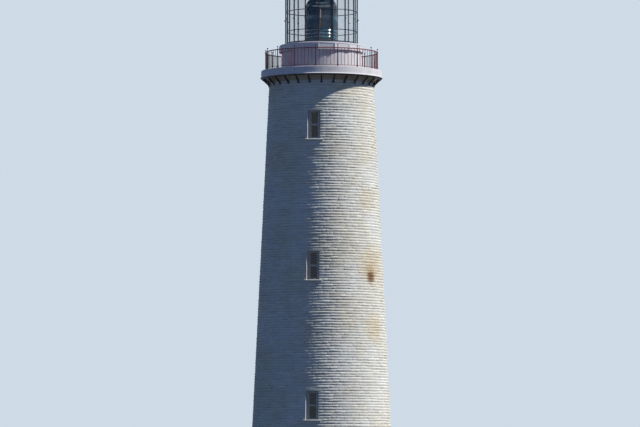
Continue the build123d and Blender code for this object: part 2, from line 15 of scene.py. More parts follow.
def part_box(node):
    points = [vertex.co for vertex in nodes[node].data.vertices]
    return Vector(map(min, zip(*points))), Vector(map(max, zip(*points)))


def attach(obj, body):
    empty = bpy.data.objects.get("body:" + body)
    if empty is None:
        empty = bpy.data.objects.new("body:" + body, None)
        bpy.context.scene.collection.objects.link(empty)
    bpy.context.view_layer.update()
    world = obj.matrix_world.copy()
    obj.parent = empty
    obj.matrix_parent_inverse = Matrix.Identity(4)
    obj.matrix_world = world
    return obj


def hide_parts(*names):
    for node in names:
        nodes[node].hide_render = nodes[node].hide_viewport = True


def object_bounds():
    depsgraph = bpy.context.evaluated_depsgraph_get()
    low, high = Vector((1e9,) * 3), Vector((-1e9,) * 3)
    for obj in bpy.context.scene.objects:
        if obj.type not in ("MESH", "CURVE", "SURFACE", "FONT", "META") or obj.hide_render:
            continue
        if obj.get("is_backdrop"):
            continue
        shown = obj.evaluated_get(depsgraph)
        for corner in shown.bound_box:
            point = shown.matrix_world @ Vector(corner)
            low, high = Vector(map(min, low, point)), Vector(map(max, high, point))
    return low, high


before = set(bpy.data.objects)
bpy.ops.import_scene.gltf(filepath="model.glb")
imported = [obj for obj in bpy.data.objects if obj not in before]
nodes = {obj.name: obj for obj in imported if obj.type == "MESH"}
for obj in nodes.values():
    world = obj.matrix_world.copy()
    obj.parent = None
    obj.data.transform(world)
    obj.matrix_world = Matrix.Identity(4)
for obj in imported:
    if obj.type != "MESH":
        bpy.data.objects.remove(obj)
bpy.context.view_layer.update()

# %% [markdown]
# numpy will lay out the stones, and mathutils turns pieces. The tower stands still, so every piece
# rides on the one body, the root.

body = "root"

# %% [markdown]
# The photograph was taken from far away with a long lens, a little to the right of the windows
# and from about 3 m above the foot. So the tower looks almost flat, its foot and its roof are
# outside the picture, and we look up at the underside of the gallery.
# The distance, the turn and the tilt are real sizes, so the camera is placed by them alone.

# %% Camera
PICTURE_WIDTH = 640
FOCAL_PIXELS = 3850
SENSOR_WIDTH = 36.0
CAMERA_DISTANCE = 225.0
CAMERA_HEIGHT = 2.98
CAMERA_AZIMUTH = math.radians(7.6)
CAMERA_PITCH = math.radians(3.32)
AXIS_OFFSET_PIXELS = 1.5
CLIP_NEAR, CLIP_FAR = 1.0, 2000.0

camera_data = bpy.data.cameras.new("camera")
camera = bpy.data.objects.new("camera", camera_data)
bpy.context.scene.collection.objects.link(camera)
bpy.context.scene.camera = camera
camera_data.sensor_width = SENSOR_WIDTH
camera_data.lens = FOCAL_PIXELS * SENSOR_WIDTH / PICTURE_WIDTH
camera_data.clip_start = CLIP_NEAR
camera_data.clip_end = CLIP_FAR
camera.location = (
    CAMERA_DISTANCE * math.sin(CAMERA_AZIMUTH),
    -CAMERA_DISTANCE * math.cos(CAMERA_AZIMUTH),
    CAMERA_HEIGHT,
)
turn = CAMERA_AZIMUTH + math.atan(AXIS_OFFSET_PIXELS / FOCAL_PIXELS)
camera.rotation_euler = (math.pi / 2 + CAMERA_PITCH, 0.0, turn)
print("lens:", round(camera_data.lens, 1), "mm")

# %% [markdown]
# One large lamp stands for the sun. It is high on the right, nearly square to the camera's line of
# sight, so it rakes over the right half of the wall, and the gallery throws its curved shadow down
# it. The world fills the shade with a cool, even light. The camera sees a plain pale background in
# place of that fill, through the Light Path node, and so do metal and glass.

# %% Light
SUN_AZIMUTH = math.radians(82.0)
SUN_HEIGHT = math.radians(48.0)
SUN_STRENGTH = 4.6
SUN_SPREAD = math.radians(1.5)
SUN_COLOUR = (1.0, 0.975, 0.93)
FILL_COLOUR = (0.049, 0.107, 0.256)
PALE_COLOUR = (0.62, 0.71, 0.80)

sun_data = bpy.data.lights.new("sun", "SUN")
sun_data.energy = SUN_STRENGTH
sun_data.angle = SUN_SPREAD
sun_data.color = SUN_COLOUR
sun = bpy.data.objects.new("sun", sun_data)
bpy.context.scene.collection.objects.link(sun)
heading = SUN_AZIMUTH + CAMERA_AZIMUTH
towards_sun = Vector((
    math.sin(heading) * math.cos(SUN_HEIGHT),
    -math.cos(heading) * math.cos(SUN_HEIGHT),
    math.sin(SUN_HEIGHT),
))
sun.rotation_euler = towards_sun.to_track_quat("Z", "Y").to_euler()
print("light comes from", [round(v, 2) for v in towards_sun])

# %% [markdown]
# Every material is a small tree of nodes. One function adds a node, with its settings, its plain
# values and what feeds it, and it leaves the values and the links to a second one, which also
# sets the shader that a material comes with. A third turns a colour as it is written on the web
# to the linear numbers that a render needs.

# %% Node and colour helpers
def linear(code):
    """An sRGB hex colour such as #a0b0c0 as linear RGBA."""
    parts = [int(code[i:i + 2], 16) / 255 for i in (1, 3, 5)]
    return tuple(c / 12.92 if c <= 0.04045 else ((c + 0.055) / 1.055) ** 2.4 for c in parts
                 ) + (1.0,)


def feed(tree, node, values=None, links=None):
    """Sets the inputs of a node: plain values, and outputs of other nodes that feed it."""
    for name, value in (values or {}).items():
        node.inputs[name].default_value = value
    for name, source in (links or {}).items():
        tree.links.new(source, node.inputs[name])


def add(tree, kind, settings=None, values=None, links=None, stops=None):
    """Adds one shader node; stops are the places and colours of a colour ramp."""
    made = tree.nodes.new("ShaderNode" + kind)
    for name, value in (settings or {}).items():
        setattr(made, name, value)
    feed(tree, made, values, links)
    if stops:
        ramp = made.color_ramp
        while len(ramp.elements) < len(stops):
            ramp.elements.new(0.5)
        for element, (place, colour) in zip(ramp.elements, stops):
            element.position = place
            element.color = colour
    return made


def new_material(name):
    """A material with a Principled shader, and the Object coordinates that its patterns read."""
    material = bpy.data.materials.new(name)
    material.use_nodes = True
    tree = material.node_tree
    shader = tree.nodes["Principled BSDF"]
    place = add(tree, "TexCoord").outputs["Object"]
    return material, tree, shader, place


print("a middle grey is", round(linear("#808080")[0], 3), "in linear light")

# %% [markdown]
# The floor and the world are stage, not part of the object. The floor is as pale as the background
# to the camera, and dark to the light that it bounces, so that it doesn't wash out the shade.

# %% Stage
FLOOR_SIZE = 3000.0
FLOOR_SEEN = (0.66, 0.72, 0.78, 1.0)
FLOOR_BOUNCE = (0.040, 0.050, 0.070, 1.0)
FLOOR_ROUGH = 0.9

world = bpy.data.worlds.new("pale_world")
bpy.context.scene.world = world
world.use_nodes = True
sky = world.node_tree
fill = sky.nodes["Background"]
fill.inputs["Color"].default_value = FILL_COLOUR + (1.0,)
path = add(sky, "LightPath")
seen = add(sky, "Math", {"operation": "MAXIMUM"},
           links={0: path.outputs["Is Camera Ray"], 1: path.outputs["Is Transmission Ray"]})
seen = add(sky, "Math", {"operation": "MAXIMUM"},
           links={0: seen.outputs[0], 1: path.outputs["Is Glossy Ray"]})
plain = add(sky, "Background", values={"Color": PALE_COLOUR + (1.0,), "Strength": 1.0})
blend = add(sky, "MixShader",
            links={0: seen.outputs[0], 1: fill.outputs[0], 2: plain.outputs[0]})
sky.links.new(blend.outputs[0], sky.nodes["World Output"].inputs["Surface"])

bpy.ops.mesh.primitive_plane_add(size=FLOOR_SIZE)
floor = bpy.context.object
floor.name = "floor"
floor_material, tree, shader, place = new_material("pale_floor")
path = add(tree, "LightPath")
tint = add(tree, "Mix", {"data_type": "RGBA"}, values={6: FLOOR_BOUNCE, 7: FLOOR_SEEN},
           links={0: path.outputs["Is Camera Ray"]})
feed(tree, shader, {"Roughness": FLOOR_ROUGH}, {"Base Color": tint.outputs[2]})
floor.data.materials.append(floor_material)
floor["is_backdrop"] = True
bpy.context.scene.view_settings.view_transform = "Standard"
print("stage: floor", FLOOR_SIZE, "m")

# %% [markdown]
# Limewash is brushed on year after year, so it lies thick and soft over the stones. It is a warm
# white where it is sound, creamy where rain runs, and brown where iron bleeds through it. Under a
# close look it is dry and grainy. The stones carry a random number each, which the material reads
# to make every one a shade different. Weathered patches are about 2 m across, rain streaks 0.4 m
# wide and 4 m long, and the mottling 330 by 60 mm. The soft lumps are drawn longer than they are
# high, about 170 by 40 mm, as the brush leaves them, and the grain is 8 mm, so that it shows.

# %% Limewash on rubble
def stone_coat(name, light, cream, grime, spread=0.09):
    """Brushed limewash; spread is how much lighter or darker one stone may be than the next."""
    material, tree, shader, place = new_material(name)
    weather = add(tree, "TexNoise", values={"Scale": 0.5, "Detail": 5.0, "Roughness": 0.6},
                  links={"Vector": place})
    streak_place = add(tree, "Mapping", values={"Scale": (2.6, 2.6, 0.24)},
                       links={"Vector": place})
    streaks = add(tree, "TexNoise", values={"Scale": 1.0, "Detail": 6.0, "Roughness": 0.65},
                  links={"Vector": streak_place.outputs[0]})
    bed_place = add(tree, "Mapping", values={"Scale": (1.0, 1.0, 5.5)}, links={"Vector": place})
    mottle = add(tree, "TexNoise", values={"Scale": 3.0, "Detail": 5.0, "Roughness": 0.6},
                 links={"Vector": bed_place.outputs[0]})
    tone = add(tree, "Attribute", {"attribute_name": "stone_tone"})

    patches = add(tree, "ValToRGB", links={"Fac": weather.outputs["Fac"]},
                  stops=[(0.40, linear(light)), (0.64, linear(cream))])
    runs = add(tree, "MapRange", values={"From Min": 0.54, "From Max": 0.76, "To Max": 0.3},
               links={"Value": streaks.outputs["Fac"]})
    colour = add(tree, "Mix", {"data_type": "RGBA"}, values={7: linear(grime)},
                 links={0: runs.outputs[0], 6: patches.outputs["Color"]})

    shade = add(tree, "MapRange", values={"To Min": 1.0 - spread, "To Max": 1.03},
                links={"Value": tone.outputs["Fac"]})
    speckle = add(tree, "MapRange", links={"Value": mottle.outputs["Fac"]},
                  values={"From Min": 0.3, "From Max": 0.6, "To Min": 0.92, "To Max": 1.02})
    value = add(tree, "Math", {"operation": "MULTIPLY"},
                links={0: shade.outputs[0], 1: speckle.outputs[0]})
    final = add(tree, "VectorMath", {"operation": "SCALE"},
                links={0: colour.outputs[2], "Scale": value.outputs[0]})

    stained = add_stains(tree, place, final.outputs[0])

    lump_place = add(tree, "Mapping", values={"Scale": (6.0, 6.0, 24.0)}, links={"Vector": place})
    lumps = add(tree, "TexNoise", values={"Scale": 1.0, "Detail": 3.0},
                links={"Vector": lump_place.outputs[0]})
    grain = add(tree, "TexNoise", values={"Scale": 125.0, "Detail": 2.0}, links={"Vector": place})
    soft = add(tree, "Bump", values={"Strength": 0.9, "Distance": 0.009},
               links={"Height": lumps.outputs["Fac"]})
    rough = add(tree, "Bump", values={"Strength": 0.5, "Distance": 0.002},
                links={"Height": grain.outputs["Fac"], "Normal": soft.outputs[0]})
    feed(tree, shader, {"Roughness": 0.92, "Specular IOR Level": 0.2},
         {"Base Color": stained, "Normal": rough.outputs[0]})
    return material


# %% [markdown]
# Stains have a place on this tower: ochre and rust bleed out halfway up the right side, and the
# foot of the wall is damp and green. Each stain is a soft ball round a point of the wall, given
# with its reach in metres, its colour and its strength. Stretched noise tears it into level dashes
# of about 600 by 120 mm, because iron and mud bleed out along the bed joints.

# %% Stains
OCHRE = "#b3946a"
PALE_OCHRE = "#cdbb94"
RUST = "#70492f"
DAMP = "#7f8672"
STAINS = (
    ((3.20, -1.75, 12.9), 2.5, PALE_OCHRE, 0.55),
    ((3.35, -1.85, 9.3), 2.0, PALE_OCHRE, 0.5),
    ((3.05, -1.70, 16.8), 1.7, PALE_OCHRE, 0.4),
    ((3.12, -1.85, 12.5), 1.0, OCHRE, 0.6),
    ((3.12, -1.85, 12.2), 0.75, RUST, 0.85),
)
DAMP_HEIGHT = 1.6


def add_stains(tree, place, colour):
    """Lays the stains of the wall over a colour, and the damp at its foot."""
    dash_place = add(tree, "Mapping", values={"Scale": (1.6, 1.6, 8.0)}, links={"Vector": place})
    dashes = add(tree, "TexNoise", values={"Scale": 1.0, "Detail": 6.0, "Roughness": 0.65},
                 links={"Vector": dash_place.outputs[0]})
    for centre, reach, tint, strength in STAINS:
        away = add(tree, "VectorMath", {"operation": "DISTANCE"}, values={1: centre},
                   links={0: place})
        near = add(tree, "MapRange", {"interpolation_type": "SMOOTHSTEP"},
                   values={"From Min": reach, "From Max": 0.0, "To Min": -0.3, "To Max": 0.6},
                   links={"Value": away.outputs["Value"]})
        torn = add(tree, "Math", {"operation": "ADD", "use_clamp": True},
                   links={0: near.outputs[0], 1: dashes.outputs["Fac"]})
        mask = add(tree, "MapRange", values={"From Min": 0.55, "From Max": 1.0, "To Max": strength},
                   links={"Value": torn.outputs[0]})
        colour = add(tree, "Mix", {"data_type": "RGBA"}, values={7: linear(tint)},
                     links={0: mask.outputs[0], 6: colour}).outputs[2]
    height = add(tree, "SeparateXYZ", links={0: place})
    low = add(tree, "MapRange", links={"Value": height.outputs["Z"]},
              values={"From Min": 0.0, "From Max": DAMP_HEIGHT, "To Min": 0.75, "To Max": 0.0})
    wet = add(tree, "Math", {"operation": "MULTIPLY"},
              links={0: low.outputs[0], 1: dashes.outputs["Fac"]})
    return add(tree, "Mix", {"data_type": "RGBA"}, values={7: linear(DAMP)},
               links={0: wet.outputs[0], 6: colour}).outputs[2]


limewash = stone_coat("limewash_on_rubble", "#e2e2db", "#ded9c9", "#c0bbab")
bed_coat = stone_coat("limewash_in_the_joints", "#a5a297", "#989182", "#7c776c")
dressed_coat = stone_coat("limewash_on_dressed_stone", "#e9e9e3", "#e2decf", "#c6c2b4")
# a browner, darker limewash for the wall head under the gallery
head_coat = stone_coat("brown_limewash_under_the_gallery", "#d8c9ae", "#c2ae8e", "#8f7d62")
print("stone coats:", limewash.name, bed_coat.name, dressed_coat.name, head_coat.name)

# %% [markdown]
# The rest of the building is paint, glass and metal. Render is a smooth sand coat with dirt that
# runs down from its edge. Paint on iron is glossy where it is whole, chalks in the sun and rusts
# at its edges. One function makes them all, from the colours, the gloss and the number of worn
# patches to a metre, so 1.4 gives patches of 700 mm and 12 gives patches of 80 mm. Runs are about
# 110 mm apart and over a metre long, and brush marks 11 mm, drawn coarse so that they show.

# %% Paint and render
LEDGE_SOOT = "#85868c"
SOOT_FADE = 0.012


def painted(name, colour, worn, rough, patches, wear=0.5, streak=0.3, bump=0.0006,
            soiled_above=None):
    """A brushed coat with a second tone where it is worn or has run, and soot above a height."""
    material, tree, shader, place = new_material(name)
    cloud = add(tree, "TexNoise", values={"Scale": patches, "Detail": 6.0, "Roughness": 0.62},
                links={"Vector": place})
    stretched = add(tree, "Mapping", values={"Scale": (9.0, 9.0, 0.7)}, links={"Vector": place})
    runs = add(tree, "TexNoise", values={"Scale": 1.0, "Detail": 5.0},
               links={"Vector": stretched.outputs[0]})
    worn_mask = add(tree, "MapRange", values={"From Min": 0.54, "From Max": 0.72, "To Max": wear},
                    links={"Value": cloud.outputs["Fac"]})
    run_mask = add(tree, "MapRange", values={"From Min": 0.5, "From Max": 0.75, "To Max": streak},
                   links={"Value": runs.outputs["Fac"]})
    mask = add(tree, "Math", {"operation": "MAXIMUM"},
               links={0: worn_mask.outputs[0], 1: run_mask.outputs[0]})
    tint = add(tree, "Mix", {"data_type": "RGBA"}, values={6: linear(colour), 7: linear(worn)},
               links={0: mask.outputs[0]})
    if soiled_above:
        height = add(tree, "SeparateXYZ", links={0: place}).outputs["Z"]
        soil = add(tree, "MapRange", links={"Value": height},
                   values={"From Min": soiled_above, "From Max": soiled_above + SOOT_FADE})
        tint = add(tree, "Mix", {"data_type": "RGBA"}, values={7: linear(LEDGE_SOOT)},
                   links={0: soil.outputs[0], 6: tint.outputs[2]})
    gloss = add(tree, "MapRange", values={"To Min": rough, "To Max": min(1.0, rough + 0.3)},
                links={"Value": mask.outputs[0]})
    brush = add(tree, "TexNoise", values={"Scale": 90.0, "Detail": 2.0}, links={"Vector": place})
    relief = add(tree, "Bump", values={"Strength": 0.6, "Distance": bump},
                 links={"Height": brush.outputs["Fac"]})
    feed(tree, shader, links={"Base Color": tint.outputs[2], "Roughness": gloss.outputs[0],
                              "Normal": relief.outputs[0]})
    return material


print("soot on ledges:", LEDGE_SOOT)

# %% [markdown]
# The two colours of a coat are the sound paint and what shows where it is worn, and the number
# after them is its roughness. Render and asphalt are matt, white paint has a dull sheen, and iron
# kept in red or dark blue gloss shines. The slope on top of the coping is grey with soot, so it
# has a paint of its own.

# %% The tower's coats of paint
COPING_SLOPE = 0.078
render_coat = painted("painted_sand_render", "#dedbdd", "#b9b4b0", 0.78, 1.4, streak=0.45,
                      bump=0.002)
deck_coat = painted("worn_deck_asphalt", "#6c6a6a", "#555352", 0.85, 2.0, bump=0.003)
rail_red = painted("red_gloss_on_wrought_iron", "#84252b", "#4a1c26", 0.38, 6.0)
post_red = painted("dark_red_gloss_on_cast_iron", "#471622", "#281318", 0.35, 6.0, wear=0.6)
foot_iron = painted("black_paint_on_cast_iron", "#1c1b20", "#4a3a32", 0.5, 8.0, wear=0.4)
parapet_white = painted("white_paint_on_iron_plate", "#dddce1", "#b5b0ac", 0.45, 1.8, wear=0.4,
                        streak=0.45)
coping_white = painted("sooty_white_paint_on_coping", "#e6e5ea", "#b5b0ac", 0.45, 1.8, wear=0.4,
                       streak=0.45, soiled_above=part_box("parapet_coping")[1].z - COPING_SLOPE)
leaf_grey = painted("grey_paint_on_iron_door", "#a9adb4", "#83817f", 0.45, 2.5)
lantern_dark = painted("dark_blue_gloss_on_gunmetal", "#0a1f3c", "#20405f", 0.3, 5.0, wear=0.45)
roof_dark = painted("blue_black_paint_on_copper", "#20262f", "#4c5556", 0.4, 2.2, wear=0.6,
                    streak=0.5)
# white paint greyed: painted shade for the recesses of the window and door frames
window_white_and_recess_shade = painted("white_oil_paint_greyed_for_recess_shade", "#b2b4b2", "#8f8e86", 0.5, 12.0)
door_red = painted("red_oil_paint_on_boards", "#7c2a26", "#5a2a22", 0.42, 7.0)
column_green = painted("green_enamel_on_cast_iron", "#34443e", "#22302c", 0.35, 6.0)
flagstone = painted("worn_flagstone", "#8d8880", "#6d6962", 0.85, 3.0, bump=0.003)
print("paints:", rail_red.name, render_coat.name, lantern_dark.name)

# %% [markdown]
# Glass is shown three ways. Plate glass in the lantern is clear and thin: it is mostly see-through,
# so that sunlight reaches the lens. Window glass is coloured nearly black, as painted shade for the
# dark room behind it. The lens is thick blue-green optical glass held in gunmetal. All of it
# ripples a little, about every 140 mm, and bare metal has dull and bright patches of about 90 mm.

# %% Glass and bronze
def glassy(name, colour, rough, clear, ior=1.5, cover=1.0):
    """Glass with its tint; clear is the share of light it refracts, cover how solid it looks."""
    material, tree, shader, place = new_material(name)
    ripple = add(tree, "TexNoise", values={"Scale": 7.0, "Detail": 2.0}, links={"Vector": place})
    tint = add(tree, "Mix", {"data_type": "RGBA"},
               values={6: linear(colour), 7: tuple(0.8 * c for c in linear(colour)[:3]) + (1.0,)},
               links={0: ripple.outputs["Fac"]})
    wave = add(tree, "Bump", values={"Strength": 0.25, "Distance": 0.002},
               links={"Height": ripple.outputs["Fac"]})
    feed(tree, shader,
         {"Roughness": rough, "Transmission Weight": clear, "IOR": ior, "Alpha": cover},
         {"Base Color": tint.outputs[2], "Normal": wave.outputs[0]})
    return material


def bronzed(name, colour, dull, rough):
    """Bare metal left to the salt air, dull with bright rubbed places."""
    material, tree, shader, place = new_material(name)
    cloud = add(tree, "TexNoise", values={"Scale": 11.0, "Detail": 5.0}, links={"Vector": place})
    tint = add(tree, "ValToRGB", links={"Fac": cloud.outputs["Fac"]},
               stops=[(0.4, linear(dull)), (0.65, linear(colour))])
    gloss = add(tree, "MapRange", values={"To Min": rough + 0.15, "To Max": rough},
                links={"Value": cloud.outputs["Fac"]})
    feed(tree, shader, {"Metallic": 1.0},
         {"Base Color": tint.outputs["Color"], "Roughness": gloss.outputs[0]})
    return material


plate_glass = glassy("clear_plate_glass", "#b4c0c6", 0.05, 0.0, cover=0.10)
# near-black window glass: painted shade for the dark room behind it
window_pane = glassy("window_glass_with_painted_room_shade", "#10151f", 0.05, 0.3)
optic_glass = glassy("blue_green_optic_glass", "#12708c", 0.06, 0.25, 1.52)
lens_bronze = bronzed("dull_gunmetal", "#8d7048", "#54432f", 0.28)
# nearly white brass: a painted highlight for the upper part of the lens panel's edge bar
pale_brass_painted_highlight = bronzed("pale_brass_painted_highlight", "#f6eddc", "#dccfb6", 0.30)
rod_copper = bronzed("weathered_copper", "#8a6f4e", "#5b6f62", 0.45)
print("glass:", plate_glass.name, window_pane.name, optic_glass.name)

# %% [markdown]
# A few helpers keep the modelling short. Everything is deselected before a new piece, because an
# operator acts on all that is selected. Vertices are chosen in code, by where they lie. A new
# primitive is selected all over, faces too, and these would take the vertices with them, so every
# choice starts by deselecting in edit mode.

# %% Choosing and editing
MERGE = 0.00002


def only(obj):
    """Makes obj the one selected, active object."""
    bpy.ops.object.select_all(action="DESELECT")
    obj.select_set(True)
    bpy.context.view_layer.objects.active = obj


def edit(obj):
    """Opens obj in edit mode with nothing selected."""
    only(obj)
    bpy.ops.object.mode_set(mode="EDIT")
    bpy.ops.mesh.select_all(action="DESELECT")


def done():
    """Back to object mode."""
    bpy.ops.object.mode_set(mode="OBJECT")


def pick(obj, test):
    """Selects the vertices of obj, in edit mode, whose place passes the test."""
    bpy.ops.object.mode_set(mode="EDIT")
    bpy.ops.mesh.select_mode(type="VERT")
    bpy.ops.mesh.select_all(action="DESELECT")
    bpy.ops.object.mode_set(mode="OBJECT")
    for vertex in obj.data.vertices:
        vertex.select = test(vertex.co)
    bpy.ops.object.mode_set(mode="EDIT")


def block(x, y, z):
    """A box of the given limits, its place in its own mesh."""
    bpy.ops.object.select_all(action="DESELECT")
    bpy.ops.mesh.primitive_cube_add(size=1.0)
    obj = bpy.context.object
    bpy.ops.object.mode_set(mode="EDIT")
    bpy.ops.transform.resize(value=(x[1] - x[0], y[1] - y[0], z[1] - z[0]))
    middle = [(pair[0] + pair[1]) / 2 for pair in (x, y, z)]
    bpy.ops.transform.translate(value=middle)
    done()
    return obj


print("corners nearer than", MERGE * 1000, "mm are merged")

# %% [markdown]
# Nearly everything up here is round, so much of it is turned: one point is drawn out along a
# profile and spun about the tower's axis. Parts that repeat are made once, at the window side, and
# copied round, each copy with its own mesh. Angles run from the window side towards the right, and
# the spin operator counts the other way, so its angle is given a minus.

# %% Turning and copying round
FULL_TURN = 2 * math.pi


def lathe(name, profile, steps, angle=FULL_TURN):
    """Spins a profile of (radius, height) points round the Z axis, and closes what stays open."""
    bpy.ops.object.select_all(action="DESELECT")
    bpy.ops.mesh.primitive_plane_add(size=1.0, location=(0.0, 0.0, 0.0))
    obj = bpy.context.object
    obj.name = name
    bpy.ops.object.mode_set(mode="EDIT")
    bpy.ops.mesh.merge(type="CENTER")
    bpy.ops.transform.translate(value=(0.0, -profile[0][0], profile[0][1]))
    for last, point in zip(profile, profile[1:]):
        move = (0.0, last[0] - point[0], point[1] - last[1])
        bpy.ops.mesh.extrude_region_move(TRANSFORM_OT_translate={"value": move})
    bpy.ops.mesh.select_all(action="SELECT")
    bpy.ops.mesh.spin(steps=steps, angle=-angle, center=(0.0, 0.0, 0.0), axis=(0.0, 0.0, 1.0))
    bpy.ops.mesh.select_all(action="SELECT")
    bpy.ops.mesh.remove_doubles(threshold=MERGE)
    bpy.ops.mesh.fill_holes(sides=0)
    bpy.ops.mesh.normals_make_consistent(inside=False)
    done()
    return obj


def turned_by(obj, degrees):
    """Turns a piece about the tower's axis, in its mesh."""
    obj.data.transform(Matrix.Rotation(math.radians(degrees), 4, "Z"))
    return obj


def joined(name, parts):
    """Joins several objects into one piece."""
    only(parts[0])
    for part in parts:
        part.select_set(True)
    bpy.ops.object.join()
    bpy.context.object.name = name
    return bpy.context.object


def ring_of(name, part, angles):
    """Copies a part round the tower and joins the copies into one piece with its own mesh."""
    copies = []
    for angle in angles:
        copy = part.copy()
        copy.data = part.data.copy()
        bpy.context.scene.collection.objects.link(copy)
        copies.append(turned_by(copy, angle))
    bpy.data.objects.remove(part)
    return joined(name, copies)


print("a full turn is", round(FULL_TURN, 3), "radians")

# %% [markdown]
# Every finished piece gets its material and its body in one call. A node of the model whose shape
# is right keeps it, and takes the material alone. Joinery and castings are copied from the model
# and their corners eased, because no real edge is as sharp as a drawn one.

# %% Finishing
SHARP_CORNER = math.radians(25)
SAME_PLANE = math.radians(0.5)


def finish(obj, slot, material, *replaced, smooth=35, level=True):
    """Gives a piece its finish and body; slot is not used; level keeps wide faces flat by rounded
    edges.
    """
    only(obj)
    obj.data.materials.clear()
    obj.data.materials.append(material)
    bpy.ops.object.shade_smooth_by_angle(angle=math.radians(smooth))
    if level:
        weighted = obj.modifiers.new("level faces", "WEIGHTED_NORMAL")
        weighted.keep_sharp = True
        bpy.ops.object.modifier_apply(modifier=weighted.name)
    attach(obj, body)
    if replaced:
        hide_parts(*replaced)
    print(obj.name, len(obj.data.polygons), "faces")
    return obj


def coat(material, *names):
    """Gives nodes of the model that keep their shape a better material."""
    for name in names:
        nodes[name].data.materials.clear()
        nodes[name].data.materials.append(material)


def ease(obj, width, segments=2):
    """Rounds the sharp corners of a piece with the Bevel modifier."""
    bevel = obj.modifiers.new("eased", "BEVEL")
    bevel.width = width
    bevel.segments = segments
    bevel.limit_method = "ANGLE"
    bevel.angle_limit = SHARP_CORNER
    only(obj)
    bpy.ops.object.modifier_apply(modifier=bevel.name)
    return obj


def eased(node, name, material, slot, width, segments=2, smooth=35):
    """A copy of a node with its corners eased, which takes the node's place."""
    obj = nodes[node].copy()
    obj.data = nodes[node].data.copy()
    for key in list(obj.keys()):
        del obj[key]
    obj.parent = None
    obj.name = name
    bpy.context.scene.collection.objects.link(obj)
    edit(obj)
    bpy.ops.mesh.select_all(action="SELECT")
    bpy.ops.mesh.remove_doubles(threshold=MERGE)
    bpy.ops.mesh.dissolve_limited(angle_limit=SAME_PLANE)
    done()
    ease(obj, width, segments)
    return finish(obj, slot, material, node, smooth=smooth)


print("corners over", round(math.degrees(SHARP_CORNER)), "degrees are eased")

# %% [markdown]
# The wall is the largest surface, so it gets real relief and not only bump. Its courses are about
# 160 mm high and its stones 0.3 to 0.8 m long, laid as rubble under thick limewash: the beds read
# as dark lines that wander a little, and the upright joints are nearly filled.
# One stone is modelled by hand: a small grid whose rim is pushed back, deep above and below and
# hardly at the ends, and whose edge is drawn out into the wall. The depths are shares of how far
# the stone will stand out. Its corners are then carried to each place in the courses, so that all
# the stones of a quarter become one joined mesh.

# %% One stone
STONE_ROWS = 3
STONE_COLUMNS = 5
INNER_X = 0.5 - 1 / STONE_COLUMNS
INNER_Y = 0.5 - 1 / STONE_ROWS
RIM = 0.49
BED_SINK = 0.80
END_SINK = 0.13


def model_stone():
    """A pillow-faced stone in a unit box: x along the course, y up, z out of the wall."""
    bpy.ops.object.select_all(action="DESELECT")
    bpy.ops.mesh.primitive_grid_add(x_subdivisions=STONE_COLUMNS, y_subdivisions=STONE_ROWS,
                                    size=1.0)
    stone = bpy.context.object
    pick(stone, lambda co: abs(co.x) > RIM)
    bpy.ops.transform.translate(value=(0.0, 0.0, -END_SINK))
    pick(stone, lambda co: abs(co.y) > RIM)
    bpy.ops.transform.translate(value=(0.0, 0.0, -BED_SINK))
    bpy.ops.mesh.select_all(action="SELECT")
    bpy.ops.mesh.region_to_loop()
    bpy.ops.mesh.extrude_region_move(TRANSFORM_OT_translate={"value": (0.0, 0.0, -1.0)})
    bpy.ops.mesh.edge_face_add()
    bpy.ops.mesh.select_all(action="SELECT")
    bpy.ops.mesh.normals_make_consistent(inside=False)
    done()
    return stone


stone = model_stone()
stone_points = np.array([v.co for v in stone.data.vertices])
stone_faces = [list(p.vertices) for p in stone.data.polygons]
bpy.data.objects.remove(stone)
print("one stone:", len(stone_points), "corners,", len(stone_faces), "faces")

# %% [markdown]
# The courses are set out first. Sills, heads and the threshold fix some bed lines, and the heights
# between them are shared out into courses of about 160 mm. Every opening has a lintel over it and a
# sill or a threshold under it. The door has a margin of dressed stone at each side, and a window
# has one on its left. On its right the rubble runs up to the reveal and a little over it.

# %% Set out the courses
wall_low, wall_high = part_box("wall_lower_front")[0].z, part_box("wall_upper_front")[1].z
BASE_RADIUS = -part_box("wall_lower_front")[0].y
TOP_RADIUS = 3.02
LIFT_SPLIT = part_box("wall_lower_front")[1].z
COURSE = 0.160
SILL_LEVELS = (3.960, 12.020, 20.190)
WINDOW_HEIGHT = 1.650
WINDOW_HALF = 0.370
MARGIN = 0.050
OVERSAIL = 0.030
SILL_THICKNESS = 0.085
SILL_HALF = 0.520
LINTEL_HEIGHT = 0.160
LINTEL_HALF = 0.520
THRESHOLD = 0.300
DOOR_HEAD = 2.400
DOOR_HALF = 0.500
DOOR_LINTEL_HALF = 0.650
STEP_TOP = 0.150
HEAD_BAND = 23.640
JOINT = 0.007
COURSE_VARY = (0.92, 1.08)
SEED = 11

fixed = [wall_low, STEP_TOP, THRESHOLD, DOOR_HEAD, DOOR_HEAD + LINTEL_HEIGHT]
for sill in SILL_LEVELS:
    fixed += [sill - SILL_THICKNESS, sill + WINDOW_HEIGHT, sill + WINDOW_HEIGHT + LINTEL_HEIGHT]
fixed.append(HEAD_BAND)

rng = np.random.default_rng(SEED)
beds = [fixed[0]]
loose = [0.0]
for low, high in zip(fixed, fixed[1:]):
    count = max(1, round((high - low) / COURSE))
    heights = rng.uniform(*COURSE_VARY, count)
    inner = low + np.cumsum(heights)[:-1] / heights.sum() * (high - low)
    beds += list(inner) + [high]
    loose += [1.0] * (count - 1) + [0.0]
beds = np.array(beds)
loose = np.array(loose)
print("courses:", len(beds) - 1)

# %% [markdown]
# A bed line's wander is a few sine waves round the tower, given as how many go round and their
# height in metres, each with its own phase. Lines that a window or the door fixes hold still near
# those openings, and wander elsewhere too. The face of a course also swells and sinks along its
# length by a few millimetres, which is what makes long dark dashes in raking sunlight.

